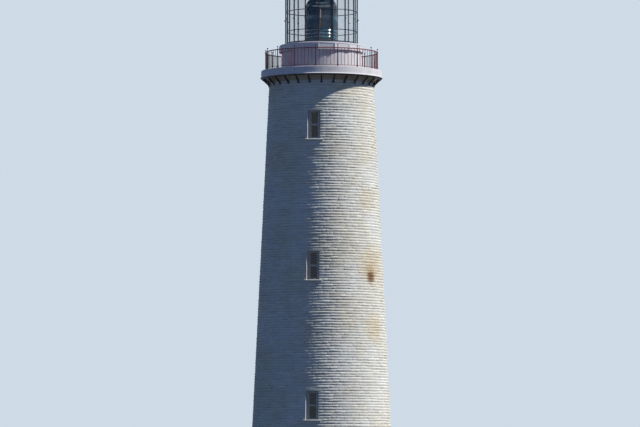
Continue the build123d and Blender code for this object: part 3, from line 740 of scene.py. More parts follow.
# %% How the courses wander
BED_WAVES = ((4, 0.007), (9, 0.006), (17, 0.004), (31, 0.002), (52, 0.0015))
FACE_WAVES = ((7, 0.002), (13, 0.002), (23, 0.0015), (41, 0.001))
WAVE_SHARE = (0.4, 1.2)
QUIET_ANGLE = math.radians(12.0)
SLACK = 0.01
bed_phase = rng.uniform(0.0, FULL_TURN, (len(beds), len(BED_WAVES)))
bed_share = rng.uniform(*WAVE_SHARE, (len(beds), len(BED_WAVES)))
face_phase = rng.uniform(0.0, FULL_TURN, (len(beds), len(FACE_WAVES)))


def wall_radius(z):
    """Radius of the battered wall at a height."""
    return BASE_RADIUS + (TOP_RADIUS - BASE_RADIUS) * (z - wall_low) / (wall_high - wall_low)


def bed_height(index, angle):
    """Height of a bed line at an angle round the tower."""
    wander = np.zeros(np.broadcast(index, angle).shape)
    for k, (count, size) in enumerate(BED_WAVES):
        wander += bed_share[index, k] * size * np.sin(count * angle + bed_phase[index, k])
    off_window = np.abs((angle + math.pi / 2) % math.pi - math.pi / 2)
    calm = np.clip((off_window - QUIET_ANGLE) / QUIET_ANGLE, 0.0, 1.0)
    inside = (beds[index] > beds[0] + SLACK) & (beds[index] < beds[-1] - SLACK)
    return beds[index] + wander * np.maximum(loose[index], calm) * inside


def face_swell(index, angle):
    """How far a course stands out from its mean face at an angle."""
    swell = np.zeros(angle.shape)
    for k, (count, size) in enumerate(FACE_WAVES):
        swell += size * np.sin(count * angle + face_phase[index, k])
    return swell


most = WAVE_SHARE[1] * sum(wave[1] for wave in BED_WAVES)
print("a bed wanders by up to", round(1000 * most), "mm")

# %% [markdown]
# Where a course meets an opening's margin, sill or lintel it stops against it. What an opening
# takes out of a course is told as a half width. It depends on the height of the course: a sill or
# lintel is wider than the opening, and beside the opening itself the margin counts too.

# %% Openings in a course
def blocked(low, high):
    """Half widths that openings and their dressed stones take out of a course, front and back."""
    front, back = 0.0, 0.0
    middle = (low + high) / 2
    for sill in SILL_LEVELS:
        head = sill + WINDOW_HEIGHT
        half = 0.0
        if sill - SILL_THICKNESS - SLACK < low < sill:
            half = SILL_HALF
        elif sill < middle < head:
            half = WINDOW_HALF + MARGIN
        elif head < middle < head + LINTEL_HEIGHT:
            half = LINTEL_HALF
        front, back = max(front, half), max(back, half)
    if middle < STEP_TOP or DOOR_HEAD < middle < DOOR_HEAD + LINTEL_HEIGHT:
        front = DOOR_LINTEL_HALF
    elif THRESHOLD < middle < DOOR_HEAD:
        front = DOOR_HALF + MARGIN
    return front, back


def bare(half):
    """The half width on the right of an opening, where a window has no margin."""
    return WINDOW_HALF - OVERSAIL if half == WINDOW_HALF + MARGIN else half


print("rubble reaches", round(1000 * OVERSAIL), "mm over the right edge of a window")

# %% [markdown]
# Each course is then cut into stones. The stone next to an opening is a squared one of about 0.3 m.
# The other lengths are mostly near 0.46 m, with a few long ones, as a lognormal draw gives them.

# %% Cut the courses into stones
JAMB_STONE = 0.31
JAMB_VARY = (0.9, 1.12)
SHORTEST, LONGEST = 0.26, 0.82
LENGTH_LOG, LENGTH_SPREAD = -0.78, 0.38


def lay_arc(start, end, radius, jambs):
    """Cuts an arc of a course into stones and returns their ends as angles."""
    cuts = [start]
    if jambs:
        cuts.append(start + JAMB_STONE * rng.uniform(*JAMB_VARY) / radius)
        end_stone = JAMB_STONE * rng.uniform(*JAMB_VARY) / radius
    else:
        end_stone = 0.0
    free = end - end_stone - cuts[-1]
    lengths = []
    while sum(lengths) < free * radius:
        draw = rng.lognormal(LENGTH_LOG, LENGTH_SPREAD)
        lengths.append(float(np.clip(draw, SHORTEST, LONGEST)))
    scale = free / sum(lengths)
    for length in lengths:
        cuts.append(cuts[-1] + length * scale)
    if jambs:
        cuts.append(end)
    return list(zip(cuts, cuts[1:]))


stones = []
for course, (low, high) in enumerate(zip(beds, beds[1:])):
    radius = wall_radius((low + high) / 2)
    front, back = blocked(low, high)
    if front or back:
        front_edge, back_edge = math.asin(front / radius), math.asin(back / radius)
        front_bare, back_bare = math.asin(bare(front) / radius), math.asin(bare(back) / radius)
        arcs = [(front_bare, math.pi - back_edge), (math.pi + back_bare, FULL_TURN - front_edge)]
    else:
        offset = rng.uniform(0.0, FULL_TURN)
        arcs = [(offset, offset + FULL_TURN)]
    for start, end in arcs:
        for a, b in lay_arc(start, end, radius, bool(front or back)):
            stones.append((course, a, b))
    for side, half in ((0.0, front), (math.pi, back)):
        if half == SILL_HALF and high - low > SILL_THICKNESS:
            margin_edge = math.asin((WINDOW_HALF + MARGIN) / radius)
            bare_edge = math.asin(bare(WINDOW_HALF + MARGIN) / radius)
            sill_end = math.asin(SILL_HALF / radius)
            stones.append((-course, side + bare_edge, side + sill_end))
            stones.append((-course, side - sill_end, side - margin_edge))
stone_table = np.array(stones)
print("stones:", len(stone_table))

# %% [markdown]
# Now the corners of the one stone are carried to every place. Its rim keeps a real width whatever
# the stone's length, so the plain middle stretches and the rounded edges don't. Each stone also
# gets its own bed gaps of 1 to 12 mm, mostly narrow, its own step out of the wall, tilt and small
# lumps. A negative course number marks the little pieces over the ends of a sill.

# %% How stones differ
ROUND_X = 0.030
ROUND_Y = 0.064
ROUND_SHARE = 0.90
PLAIN_SHARE = 0.25
PROUD, PROUD_SPREAD = 0.032, 0.004
PROUD_LEAST, PROUD_MOST = 0.020, 0.044
BEHIND = 0.012
END_GAP = 0.003
GAP_LEAST, GAP_SPREAD = 0.001, 0.011
RAGGED_EDGE = 0.003
SIDE_TILT, LEAN = 0.004, 0.04
SWELL, LUMP = 0.004, 0.0018
SINK_VARY = (0.75, 1.15)
SINK_MOST = 0.96
FACE_LEAST = 0.003
FOOT_GAP = 0.002


def bed_gap():
    """Half of the joint above or below each stone."""
    return GAP_LEAST + GAP_SPREAD * rng.uniform(0.0, 1.0, (len(stones), 1)) ** 2


print("stones stand out by", PROUD_LEAST, "to", PROUD_MOST, "m")

# %% [markdown]
# The sums run over all the stones at once: a row for each stone, and a column for each corner.

# %% Lay the stones
course_index = np.abs(stone_table[:, 0]).astype(int)
on_sill = stone_table[:, 0] < 0
first, last = stone_table[:, 1:2], stone_table[:, 2:3]
middle_angle = (first + last) / 2
course_radius = wall_radius((beds[course_index] + beds[course_index + 1]) / 2)[:, None]
count = len(stone_table)
end_gap = rng.uniform(0.0, END_GAP, (count, 1))
length = (last - first) * course_radius - end_gap

x_unit, y_unit, z_unit = stone_points[:, 0], stone_points[:, 1], stone_points[:, 2]
x_rim, y_rim = np.abs(x_unit) > RIM, np.abs(y_unit) > RIM
x_side = np.sign(x_unit) * x_rim
x_inner = np.where(x_rim, 0.0, x_unit / INNER_X)
x = x_side * length / 2 + x_inner * np.maximum(length / 2 - ROUND_X, length * PLAIN_SHARE)
angle = middle_angle + x / course_radius

course_grid = np.broadcast_to(course_index[:, None], angle.shape)
lower = bed_height(course_grid, angle) + bed_gap()
upper = bed_height(course_grid + 1, angle) - bed_gap()
sill_top = beds[course_index][:, None] + SILL_THICKNESS + JOINT
lower = np.where(on_sill[:, None], sill_top, lower)
edge_jitter = rng.normal(0.0, RAGGED_EDGE, (count, len(stone_points)))
half_height = (upper - lower) / 2
round_y = np.minimum(ROUND_Y, half_height * ROUND_SHARE)
y_side = np.sign(y_unit) * y_rim
y_inner = np.where(y_rim, 0.0, y_unit / INNER_Y)
z = (upper + lower) / 2 + y_side * half_height + y_inner * (half_height - round_y) + edge_jitter

proud = PROUD + face_swell(course_grid, angle) + rng.normal(0.0, PROUD_SPREAD, (count, 1))
proud = proud.clip(PROUD_LEAST, PROUD_MOST)
tilt_x = rng.normal(0.0, SIDE_TILT, (count, 1))
tilt_y = rng.normal(0.0, LEAN, (count, 1))
swell = rng.uniform(0.0, SWELL, (count, 1)) * (1.0 - (2 * x_unit) ** 2)
lump = rng.normal(0.0, LUMP, (count, len(stone_points)))
sink = np.where(y_rim, rng.uniform(*SINK_VARY, (count, 1)), 1.0)
shows = z_unit > -0.99
out = proud * (1.0 + np.maximum(z_unit * sink, -SINK_MOST)) + swell + lump
out = out + tilt_x * x + tilt_y * (z - (upper + lower) / 2)
out = np.where(shows, np.maximum(out, FACE_LEAST), -BEHIND)
z = np.maximum(z, wall_low + FOOT_GAP)
radius = wall_radius(z) + out
corners = np.stack([radius * np.sin(angle), -radius * np.cos(angle), z], axis=-1)
tones = rng.uniform(0.0, 1.0, count)
print("corners:", corners.shape[0] * corners.shape[1])

# %% [markdown]
# The stones are shared out to the quarter and lift that they lie on, one joined mesh for each, so
# that every part of the wall has its own facing. The corner lists are handed over in one go.

# %% Build the facings
SIDES = {"front": 0.0, "right": 90.0, "back": 180.0, "left": 270.0}
HALF_QUARTER = 45.0
face_sizes = np.array([len(face) for face in stone_faces])
face_corners = np.concatenate([np.array(face) for face in stone_faces])
stone_angle = np.degrees(middle_angle[:, 0]) % 360
stone_low = beds[course_index]


def facing(name, chosen):
    """One mesh of all the chosen stones, with their tone as an attribute."""
    places = corners[chosen].reshape(-1, 3)
    number = int(chosen.sum())
    shift = (np.arange(number) * len(stone_points))[:, None]
    loops = (face_corners[None, :] + shift).ravel()
    sizes = np.tile(face_sizes, number)
    starts = np.concatenate([[0], np.cumsum(sizes)[:-1]])
    mesh = bpy.data.meshes.new(name)
    mesh.vertices.add(len(places))
    mesh.vertices.foreach_set("co", places.ravel())
    mesh.loops.add(len(loops))
    mesh.loops.foreach_set("vertex_index", loops)
    mesh.polygons.add(len(sizes))
    mesh.polygons.foreach_set("loop_start", starts)
    mesh.polygons.foreach_set("loop_total", sizes)
    tone = mesh.attributes.new("stone_tone", "FLOAT", "POINT")
    tone.data.foreach_set("value", np.repeat(tones[chosen], len(stone_points)))
    mesh.update(calc_edges=True)
    mesh.validate()
    obj = bpy.data.objects.new(name, mesh)
    bpy.context.scene.collection.objects.link(obj)
    return obj


for lift, is_upper in (("lower", False), ("upper", True)):
    for side, centre in SIDES.items():
        nearest = np.abs((stone_angle - centre + 180) % 360 - 180) < HALF_QUARTER
        in_lift = (stone_low >= LIFT_SPLIT - COURSE / 2) == is_upper
        piece = facing("stone_facing_%s_%s" % (lift, side), nearest & in_lift)
        finish(piece, "whitewashed_rubble", limewash, smooth=45, level=False)
coat(bed_coat, *[name for name in nodes if name.startswith("wall_")])

# %% [markdown]
# Lintels, margins and sills are dressed blocks, smoother and a little prouder than the rubble. Each
# is a cube of its real size. The arrises that hands and brushes have worn round get a wide bevel of
# their own, and they are what catches the sun as a bright line down the left side of each window.
# The block is then cut across with bisect and carried onto the wall's curve.

# %% Dressed blocks
WORN_ARRIS = 0.042
ARRIS = 0.010
DRESSED_PROUD = 0.036
TOUCH = 0.001


def dressed_block(x, z, depth, proud, worn=(), arris=WORN_ARRIS, cuts=4, reach=wall_radius):
    """A block bent to a round wall; worn names the front edges that are rounded."""
    stone = block(x, (0.0, depth), z)
    tests = {
        "left": lambda co: co.x < x[0] + TOUCH, "right": lambda co: co.x > x[1] - TOUCH,
        "top": lambda co: co.z > z[1] - TOUCH, "bottom": lambda co: co.z < z[0] + TOUCH,
    }
    for edge in worn:
        pick(stone, lambda co: co.y < TOUCH and tests[edge](co))
        bpy.ops.mesh.bevel(offset=arris, segments=5, affect="EDGES")
        done()
    ease(stone, ARRIS)
    edit(stone)
    for step in range(1, cuts):
        bpy.ops.mesh.select_all(action="SELECT")
        cut = x[0] + (x[1] - x[0]) * step / cuts
        bpy.ops.mesh.bisect(plane_co=(cut, 0.0, 0.0), plane_no=(1.0, 0.0, 0.0))
    done()
    for vertex in stone.data.vertices:
        co = vertex.co
        at = reach(co.z) + proud - co.y
        vertex.co = (co.x, -math.sqrt(at * at - co.x * co.x), co.z)
    return stone


print("dressed stone stands out by", DRESSED_PROUD, "m")

# %% [markdown]
# The lintels go as deep as their beds in the model. The margins line the reveal as far as the
# window frame, 86 mm in from the bare wall, and the sill carries a thick rounded nose. Lintels
# and margins lap over the model's own edges by 2 mm, so that nothing flickers there.

# %% Stones round the openings
LINTEL_DEPTH = 0.396 + DRESSED_PROUD
LINTEL_ARRIS = 0.025
MARGIN_DEPTH = 0.086 + DRESSED_PROUD
DOOR_MARGIN_DEPTH = 0.300
SILL_NOSE = 0.098
SILL_DEPTH = 0.375
SILL_ARRIS = 0.036
LONG_CUTS = 8
LAP = 0.002


def lintel_over(head, half):
    """A lintel whose underside lies just below the head of an opening."""
    height = (head - LAP, head + LINTEL_HEIGHT - JOINT)
    return dressed_block((-half, half), height, LINTEL_DEPTH, DRESSED_PROUD, ("bottom",),
                         LINTEL_ARRIS, LONG_CUTS)


lintels, margins, sills = [], [], []
edge = WINDOW_HALF - LAP
for side in (0.0, 180.0):
    for sill in SILL_LEVELS:
        head = sill + WINDOW_HEIGHT
        lintels.append(turned_by(lintel_over(head, LINTEL_HALF), side))
        margin = dressed_block((-edge - MARGIN, -edge), (sill, head), MARGIN_DEPTH, DRESSED_PROUD,
                               ("right",))
        margins.append(turned_by(margin, side))
        nose = dressed_block((-SILL_HALF, SILL_HALF), (sill - SILL_THICKNESS, sill), SILL_DEPTH,
                             SILL_NOSE, ("top", "bottom"), SILL_ARRIS, LONG_CUTS)
        sills.append(turned_by(nose, side))
finish(joined("dressed_window_lintels", lintels), "dressed_stone", dressed_coat, "window_lintels")
finish(joined("rounded_window_sills", sills), "dressed_stone", dressed_coat, "window_sills")

edge = DOOR_HALF - LAP
for x, worn in (((edge, edge + MARGIN), "left"), ((-edge - MARGIN, -edge), "right")):
    margins.append(dressed_block(x, (THRESHOLD, DOOR_HEAD), DOOR_MARGIN_DEPTH, DRESSED_PROUD,
                                 (worn,)))
finish(joined("window_and_door_margins", margins), "dressed_stone", dressed_coat)
door_lintel = lintel_over(DOOR_HEAD, DOOR_LINTEL_HALF)
door_lintel.name = "dressed_door_lintel"
finish(door_lintel, "dressed_stone", dressed_coat, "entrance_lintel")
eased("entrance_step", "worn_door_step", dressed_coat, "dressed_stone", 0.020, 3)

# %% [markdown]
# Window frames are painted softwood box frames with a sash in each half. Their white paint is
# greyed as painted shade for the deep recesses they stand in. The model has their true section, so
# an eased copy only takes the sharpness off the arrises, where paint is always thin. The door is a
# heavy leaf with sunk panels.

# %% Windows and the door
eased("window_frames", "painted_window_frames", window_white_and_recess_shade, "window_paint", 0.004)
eased("entrance_frame", "painted_door_frame", window_white_and_recess_shade, "window_paint", 0.005)
eased("entrance_door", "panelled_entrance_leaf", door_red, "door_paint", 0.005)
coat(window_pane, "window_glass")
coat(flagstone, "ground_floor", "first_floor", "second_floor", "third_floor")

# %% [markdown]
# Doors on such towers hang on long wrought straps and are pulled shut by an iron ring. A strap is a
# flat bar that narrows towards its tip. The ring hangs in a boss on a small round plate. The leaf
# of the gallery door is curved, so its ironwork is bent by the same helper as the stones.

# %% Door ironwork
TIP_SHARE = 0.45
PLATE_DEPTH = 0.006
BOSS_REACH = 0.020
RING_RADIUS = 0.052


def strap(x, z, y, width=0.052, thickness=0.007):
    """A hinge strap from x[0], the hinge side, to its narrow tip at x[1]."""
    bar = block((min(x), max(x)), (y - thickness, y), (z - width / 2, z + width / 2))
    pick(bar, lambda co: abs(co.x - x[1]) < TOUCH)
    bpy.ops.transform.resize(value=(1.0, 1.0, TIP_SHARE))
    done()
    return ease(bar, 0.0025)


def hang(part, x, y, z):
    """Stands a part that was made lying flat upright on a door's face."""
    place = Matrix.Translation((x, y, z)) @ Matrix.Rotation(math.pi / 2, 4, "X")
    part.data.transform(place)


def pull_ring(x, z, y):
    """A ring hanging from a boss on a round plate, against an upright face at y."""
    bpy.ops.object.select_all(action="DESELECT")
    bpy.ops.mesh.primitive_cylinder_add(vertices=20, radius=0.034, depth=PLATE_DEPTH)
    plate = bpy.context.object
    pick(plate, lambda co: co.z > TOUCH)
    bpy.ops.mesh.inset(thickness=0.014)
    bpy.ops.mesh.extrude_region_move(TRANSFORM_OT_translate={"value": (0.0, 0.0, BOSS_REACH)})
    done()
    hang(plate, x, y - 0.003, z)
    ease(plate, 0.002)
    bpy.ops.object.select_all(action="DESELECT")
    bpy.ops.mesh.primitive_torus_add(major_segments=28, minor_segments=8,
                                     major_radius=RING_RADIUS, minor_radius=0.007)
    ring = bpy.context.object
    pick(ring, lambda co: co.y < -0.030)
    bpy.ops.transform.translate(value=(0.0, -0.006, 0.0))
    done()
    hang(ring, x, y - 0.016, z - 0.047)
    return joined("pull", [plate, ring])


leaf_low, leaf_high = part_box("entrance_door")
face = leaf_low.y
levels = (leaf_low.z + 0.115, leaf_high.z - 0.060)
parts = [strap((leaf_low.x + 0.004, 0.18), level, face) for level in levels]
parts.append(pull_ring(leaf_high.x - 0.056, leaf_low.z + 1.02, face))
finish(joined("entrance_door_ironwork", parts), "dark_iron", foot_iron)

# %% [markdown]
# The gallery is a thick round slab. Its edge is smooth painted render with a lip at the bottom that
# throws rain clear, and the lip catches a bright line of light. A profile spun in 128 steps gives a
# true round edge, where the model has flats. The deck is laid with dark asphalt. Here and further
# up, faces that would lie in one plane are kept 1 mm apart.

# %% Gallery slab
under, deck = (corner.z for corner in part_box("gallery_slab"))
SLAB_RADIUS = 3.540
DRIP_RADIUS = 3.585
DRIP_HEIGHT = 0.040
DRIP_SLOPE = 0.025
COVER_INNER = 2.342
COVER_OUTER = SLAB_RADIUS - 0.060
COVER_TOP = deck + 0.012
CLEAR = 0.001
ROUND_STEPS = 128

slab = lathe("gallery_deck", [
    (0.0, under), (DRIP_RADIUS - 0.010, under), (DRIP_RADIUS, under + 0.010),
    (DRIP_RADIUS, under + DRIP_HEIGHT - 0.008), (DRIP_RADIUS - 0.010, under + DRIP_HEIGHT),
    (SLAB_RADIUS + 0.004, under + DRIP_HEIGHT + DRIP_SLOPE), (SLAB_RADIUS, under + 0.080),
    (SLAB_RADIUS, deck - 0.030), (SLAB_RADIUS - 0.010, deck - 0.009), (SLAB_RADIUS - 0.030, deck),
    (0.0, deck),
], ROUND_STEPS)
finish(slab, "white_render", render_coat, "gallery_slab")
cover = lathe("asphalt_deck_cover", [
    (COVER_INNER, deck + CLEAR), (COVER_OUTER, deck + CLEAR), (COVER_OUTER, deck + 0.005),
    (SLAB_RADIUS - 0.072, COVER_TOP), (COVER_INNER, COVER_TOP), (COVER_INNER, deck + CLEAR),
], ROUND_STEPS)
finish(cover, "floor_stone", deck_coat)

# %% [markdown]
# Under the edge runs a dark angle iron, just outside the brackets' ends, and its black also stands
# for
# the shade under the edge: painted shade. The top of the wall behind the brackets is rendered
# smooth, in a limewash that is browner and darker than the wall below.

# %% Edge iron, wall head and brackets
EDGE_RADIUS = 3.500
EDGE_INNER = EDGE_RADIUS - 0.010
EDGE_FLANGE = EDGE_RADIUS + 0.040
EDGE_DEPTH = 0.072
FLANGE_DEPTH = 0.011
# the black edge iron is also painted shade under the slab's edge
edge_iron_with_painted_shade = lathe("gallery_edge_iron_with_painted_shade", [
    (EDGE_INNER, under - CLEAR), (EDGE_INNER, under - EDGE_DEPTH),
    (EDGE_RADIUS, under - EDGE_DEPTH), (EDGE_RADIUS, under - FLANGE_DEPTH),
    (EDGE_FLANGE, under - FLANGE_DEPTH), (EDGE_FLANGE, under - CLEAR),
    (EDGE_INNER, under - CLEAR),
], ROUND_STEPS)
finish(edge_iron_with_painted_shade, "dark_iron", foot_iron)

HEAD_PROUD = 0.040
foot_radius, top_radius = wall_radius(HEAD_BAND), wall_radius(wall_high)
band = lathe("rendered_wall_head", [
    (foot_radius - 0.010, HEAD_BAND), (foot_radius + HEAD_PROUD - 0.012, HEAD_BAND),
    (foot_radius + HEAD_PROUD, HEAD_BAND + 0.014), (top_radius + HEAD_PROUD, wall_high - CLEAR),
    (top_radius - 0.010, wall_high - CLEAR), (foot_radius - 0.010, HEAD_BAND),
], ROUND_STEPS)
finish(band, "whitewashed_rubble", head_coat)
eased("gallery_brackets", "iron_gallery_brackets", foot_iron, "dark_iron", 0.006)

# %% [markdown]
# A railing post is turned: a round foot, a tapered shaft, a collar where the handrail passes, and
# a ball on top. It is modelled once at its place on the window side and copied round the gallery.

# %% Railing
POST_RADIUS = 3.290
POST_PHASE = 1.7
BAYS = 16
BAY = 360 / BAYS
POST_STEPS = 12
BALL_RADIUS = 0.039
BALL_HEIGHT = 1.255
BALL_STEPS = 7

profile = [
    (0.0, 0.0), (0.066, 0.0), (0.066, 0.018), (0.048, 0.026), (0.042, 0.040), (0.042, 0.150),
    (0.036, 0.172), (0.034, 0.195), (0.029, 1.050), (0.034, 1.056), (0.036, 1.085), (0.034, 1.114),
    (0.020, 1.122), (0.012, 1.165), (0.012, 1.196), (0.020, 1.204), (0.012, 1.214),
]
for i in range(1, BALL_STEPS):
    swing = math.pi * (1 - i / BALL_STEPS)
    profile.append((BALL_RADIUS * math.sin(swing), BALL_HEIGHT + BALL_RADIUS * math.cos(swing)))
profile.append((0.0, BALL_HEIGHT + BALL_RADIUS))
post = lathe("post", profile, POST_STEPS)
post.data.transform(Matrix.Translation((0.0, -POST_RADIUS, deck)))
posts = ring_of("turned_railing_posts", post, [POST_PHASE + k * BAY for k in range(BAYS)])
finish(posts, "rail_paint", post_red, "railing_posts")
eased("railing_panels", "iron_railing_bays", rail_red, "rail_paint", 0.004, 1)

# %% [markdown]
# The parapet under the lantern is a smooth white round wall with a band of sixteen flat iron panels
# on top. The wall is one profile spun through fifteen bays, and the sixteenth, at the back, is the
# gallery door.

# %% Parapet wall and band
LANTERN_PHASE = 3.5
CORNERS = [LANTERN_PHASE + k * BAY for k in range(BAYS)]
DOOR_BAY = 8
PARAPET_RADIUS = 2.340
PARAPET_INNER = 2.058
PLINTH_RADIUS = PARAPET_RADIUS + 0.012
PARAPET_STEPS = 120
foot, head = (corner.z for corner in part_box("parapet_wall"))

drum = lathe("round_parapet_wall", [
    (PARAPET_INNER, foot + CLEAR), (PLINTH_RADIUS, foot + CLEAR), (PLINTH_RADIUS, foot + 0.095),
    (PARAPET_RADIUS, foot + 0.110), (PARAPET_RADIUS, head - CLEAR), (PARAPET_INNER, head - CLEAR),
    (PARAPET_INNER, foot + CLEAR),
], PARAPET_STEPS, math.radians(360 - BAY))
turned_by(drum, LANTERN_PHASE + (DOOR_BAY + 1) * BAY)
finish(drum, "white_render", parapet_white, "parapet_wall")
eased("parapet_panels", "flat_band_panels", parapet_white, "parapet_paint", 0.005)

# %% [markdown]
# Raised half-round straps cover the joints of the panels at the corners, and the coping covers the
# top. A half-round bar is a block whose outer arrises are bevelled until they almost meet. The lens
# has such a bar too.

# %% Straps and coping
BAND_RADIUS = 2.480
STRAP_WIDTH = 0.064
STRAP_PROUD = 0.022
STRAP_DEPTH = 0.062
STRAP_ROUND = 0.026


def half_round(width, front, depth, low, high, rounding):
    """An upright bar at the window side whose face at y = front is rounded."""
    bar = block((-width / 2, width / 2), (front, front + depth), (low, high))
    pick(bar, lambda co: co.y < front + TOUCH)
    bpy.ops.mesh.bevel(offset=rounding, segments=4, affect="EDGES")
    done()
    return bar


foot, head = (corner.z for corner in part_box("parapet_panels"))
corner_strap = half_round(STRAP_WIDTH, -BAND_RADIUS - STRAP_PROUD, STRAP_DEPTH, foot,
                          head - CLEAR, STRAP_ROUND)
straps = ring_of("half_round_band_straps", corner_strap, CORNERS)
finish(straps, "parapet_paint", parapet_white)
eased("parapet_coping", "sloped_coping", coping_white, "parapet_paint", 0.008)

# %% [markdown]
# The gallery door is a curved leaf between the ends of the parapet. Its two straps and its ring are
# on the outside, so they show only from behind the tower.

# %% Gallery door
LEAF_RADIUS = 2.270
STRAP_LEVELS = (0.30, 1.05)
STRAP_SPAN = (-0.42, 0.20)
door_angle = LANTERN_PHASE + (DOOR_BAY + 0.5) * BAY
eased("gallery_door", "gallery_door_leaf", leaf_grey, "gallery_door_paint", 0.006)
parts = []
for level in STRAP_LEVELS:
    height = (deck + level, deck + level + 0.050)
    bar = dressed_block(STRAP_SPAN, height, 0.010, 0.008, cuts=LONG_CUTS,
                        reach=lambda z: LEAF_RADIUS)
    parts.append(turned_by(bar, door_angle))
parts.append(turned_by(pull_ring(0.33, deck + 0.72, -LEAF_RADIUS + 0.020), door_angle))
finish(joined("gallery_door_ironwork", parts), "dark_iron", foot_iron)

# %% [markdown]
# The lantern's castings keep the model's section with eased corners. Each upright has a hand grip
# at working height, for the cleaning of the panes. The panes are the model's own.

# %% Lantern
CASTINGS = (
    ("lantern_base_ring", "lantern_sill_castings"), ("lantern_upright_bars", "lantern_uprights"),
    ("lantern_glazing_bars", "lantern_cross_bars"), ("lantern_hand_knobs", "lantern_grips"),
    ("lantern_head_ring", "lantern_head_castings"),
)
for node, name in CASTINGS:
    eased(node, name, lantern_dark, "lantern_paint", 0.006)
coat(plate_glass, "lantern_glass_lower", "lantern_glass_middle", "lantern_glass_upper")

# %% [markdown]
# The lens is the heart of the tower: a drum of stepped glass in the middle, and rings of
# three-cornered prisms below and above it, which bend the lamp's light to the horizon. The model
# has them in twenty-four flats. Here each ring is turned in 96 steps from its true section. The
# drum is a thick bulging lens cut back in nine steps each way, and each step leans back further
# than the last. The sun glints only from glass that leans back by about 28 degrees, so these
# slopes decide where the lens sparkles.

# %% Lens drum
LENS_RADIUS = 0.929
LENS_STEPS = 96
BELT_SLOPES = (10, 20, 28, 32, 34, 35, 36, 37, 38)
BELT_GLASS = 0.078
RISER = 0.002
belt_low, belt_high = (corner.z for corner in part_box("lens_belt"))

centre = (belt_low + belt_high) / 2
half = (belt_high - belt_low) / 2
pitch = half / (len(BELT_SLOPES) + 0.5)
upper_edge = []
for i, slope in enumerate(BELT_SLOPES):
    drop = pitch * math.tan(math.radians(slope))
    upper_edge.append((LENS_RADIUS, centre + (i + 0.5) * pitch + RISER))
    upper_edge.append((LENS_RADIUS - drop, centre + (i + 1.5) * pitch))
lower_edge = [(r, 2 * centre - z) for r, z in reversed(upper_edge)]
inner = LENS_RADIUS - BELT_GLASS
foot, head = (inner, centre - half), (inner, centre + half)
drum = lathe("stepped_lens_drum", [foot] + lower_edge + upper_edge + [head, foot], LENS_STEPS)
finish(drum, "lens_glass", optic_glass, "lens_belt", smooth=25)

# %% [markdown]
# The prism rings stand apart, so that each catches its own light. Below the drum there are three,
# straight above each other, with a bulging outer face. Above it there are four with a plain face,
# drawn in one after the other towards the top of the lens.

# %% Prism rings
LENS_TOP_RADIUS = 0.430
LENS_SWEEP = 1.5
LENS_HEADROOM = 0.036
PRISM_GAP = 0.040
PRISM_DEPTH = 0.120
BULGE = (0.031, 0.008, 0.0, 0.008, 0.031)
FLAT = (0.0, 0.0, 0.0)
RING_GROWTH = 0.012
top_low, top_high = (corner.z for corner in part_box("lens_prisms_upper"))
bottom_low, bottom_high = (corner.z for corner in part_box("lens_prisms_lower"))


def lens_edge(z):
    """Outer radius of the lens: upright along the drum, drawn in towards the top."""
    rise = top_high + LENS_HEADROOM - belt_high
    share = max(0.0, (z - belt_high - PRISM_GAP / 2) / rise)
    return LENS_RADIUS + (LENS_TOP_RADIUS - LENS_RADIUS) * share ** LENS_SWEEP


def prism_rings(name, low, high, count, bulge, replaced):
    """Rings of three-cornered glass; bulge draws points of the outer face back."""
    pitch = (high - low + PRISM_GAP) / count
    rings = []
    for k in range(count):
        start, end = low + k * pitch, low + (k + 1) * pitch - PRISM_GAP
        start, end = start - RING_GROWTH, end + RING_GROWTH
        inner = (lens_edge(start) + lens_edge(end)) / 2 - PRISM_DEPTH
        section = [(inner, (start + end) / 2)]
        for step, back in enumerate(bulge):
            level = start + (end - start) * step / (len(bulge) - 1)
            section.append((lens_edge(level) - back, level))
        section.append(section[0])
        rings.append(lathe("ring", section, LENS_STEPS))
    finish(joined(name, rings), "lens_glass", optic_glass, replaced, smooth=10)


prism_rings("lower_prism_rings", bottom_low, bottom_high, 3, BULGE, "lens_prisms_lower")
prism_rings("upper_prism_rings", top_low, top_high, 4, FLAT, "lens_prisms_upper")
print("lens:", round(bottom_low, 2), "to", round(top_high, 2), "m")

# %% [markdown]
# Six upright ribs of gunmetal hold the rings. One panel of the drum opens for the lamp, and its
# edge is a half-round bar, dull gunmetal below and nearly white brass above, a painted highlight
# that shows as a pale line on the dark glass. The lens stands on a painted cast-iron column with
# turned mouldings.

# %% Lens frame and column
EDGE_BAR_ANGLE = 4.4
EDGE_BAR_WIDTH = 0.044
EDGE_BAR_FRONT = -LENS_RADIUS - 0.024
EDGE_BAR_DEPTH = 0.054
EDGE_BAR_ROUND = 0.019
HIGHLIGHT_LOW, HIGHLIGHT_HIGH = centre - 0.040, centre + 0.475
COLUMN_STEPS = 64

eased("lens_frame", "gunmetal_lens_frame", lens_bronze, "lens_brass", 0.005)
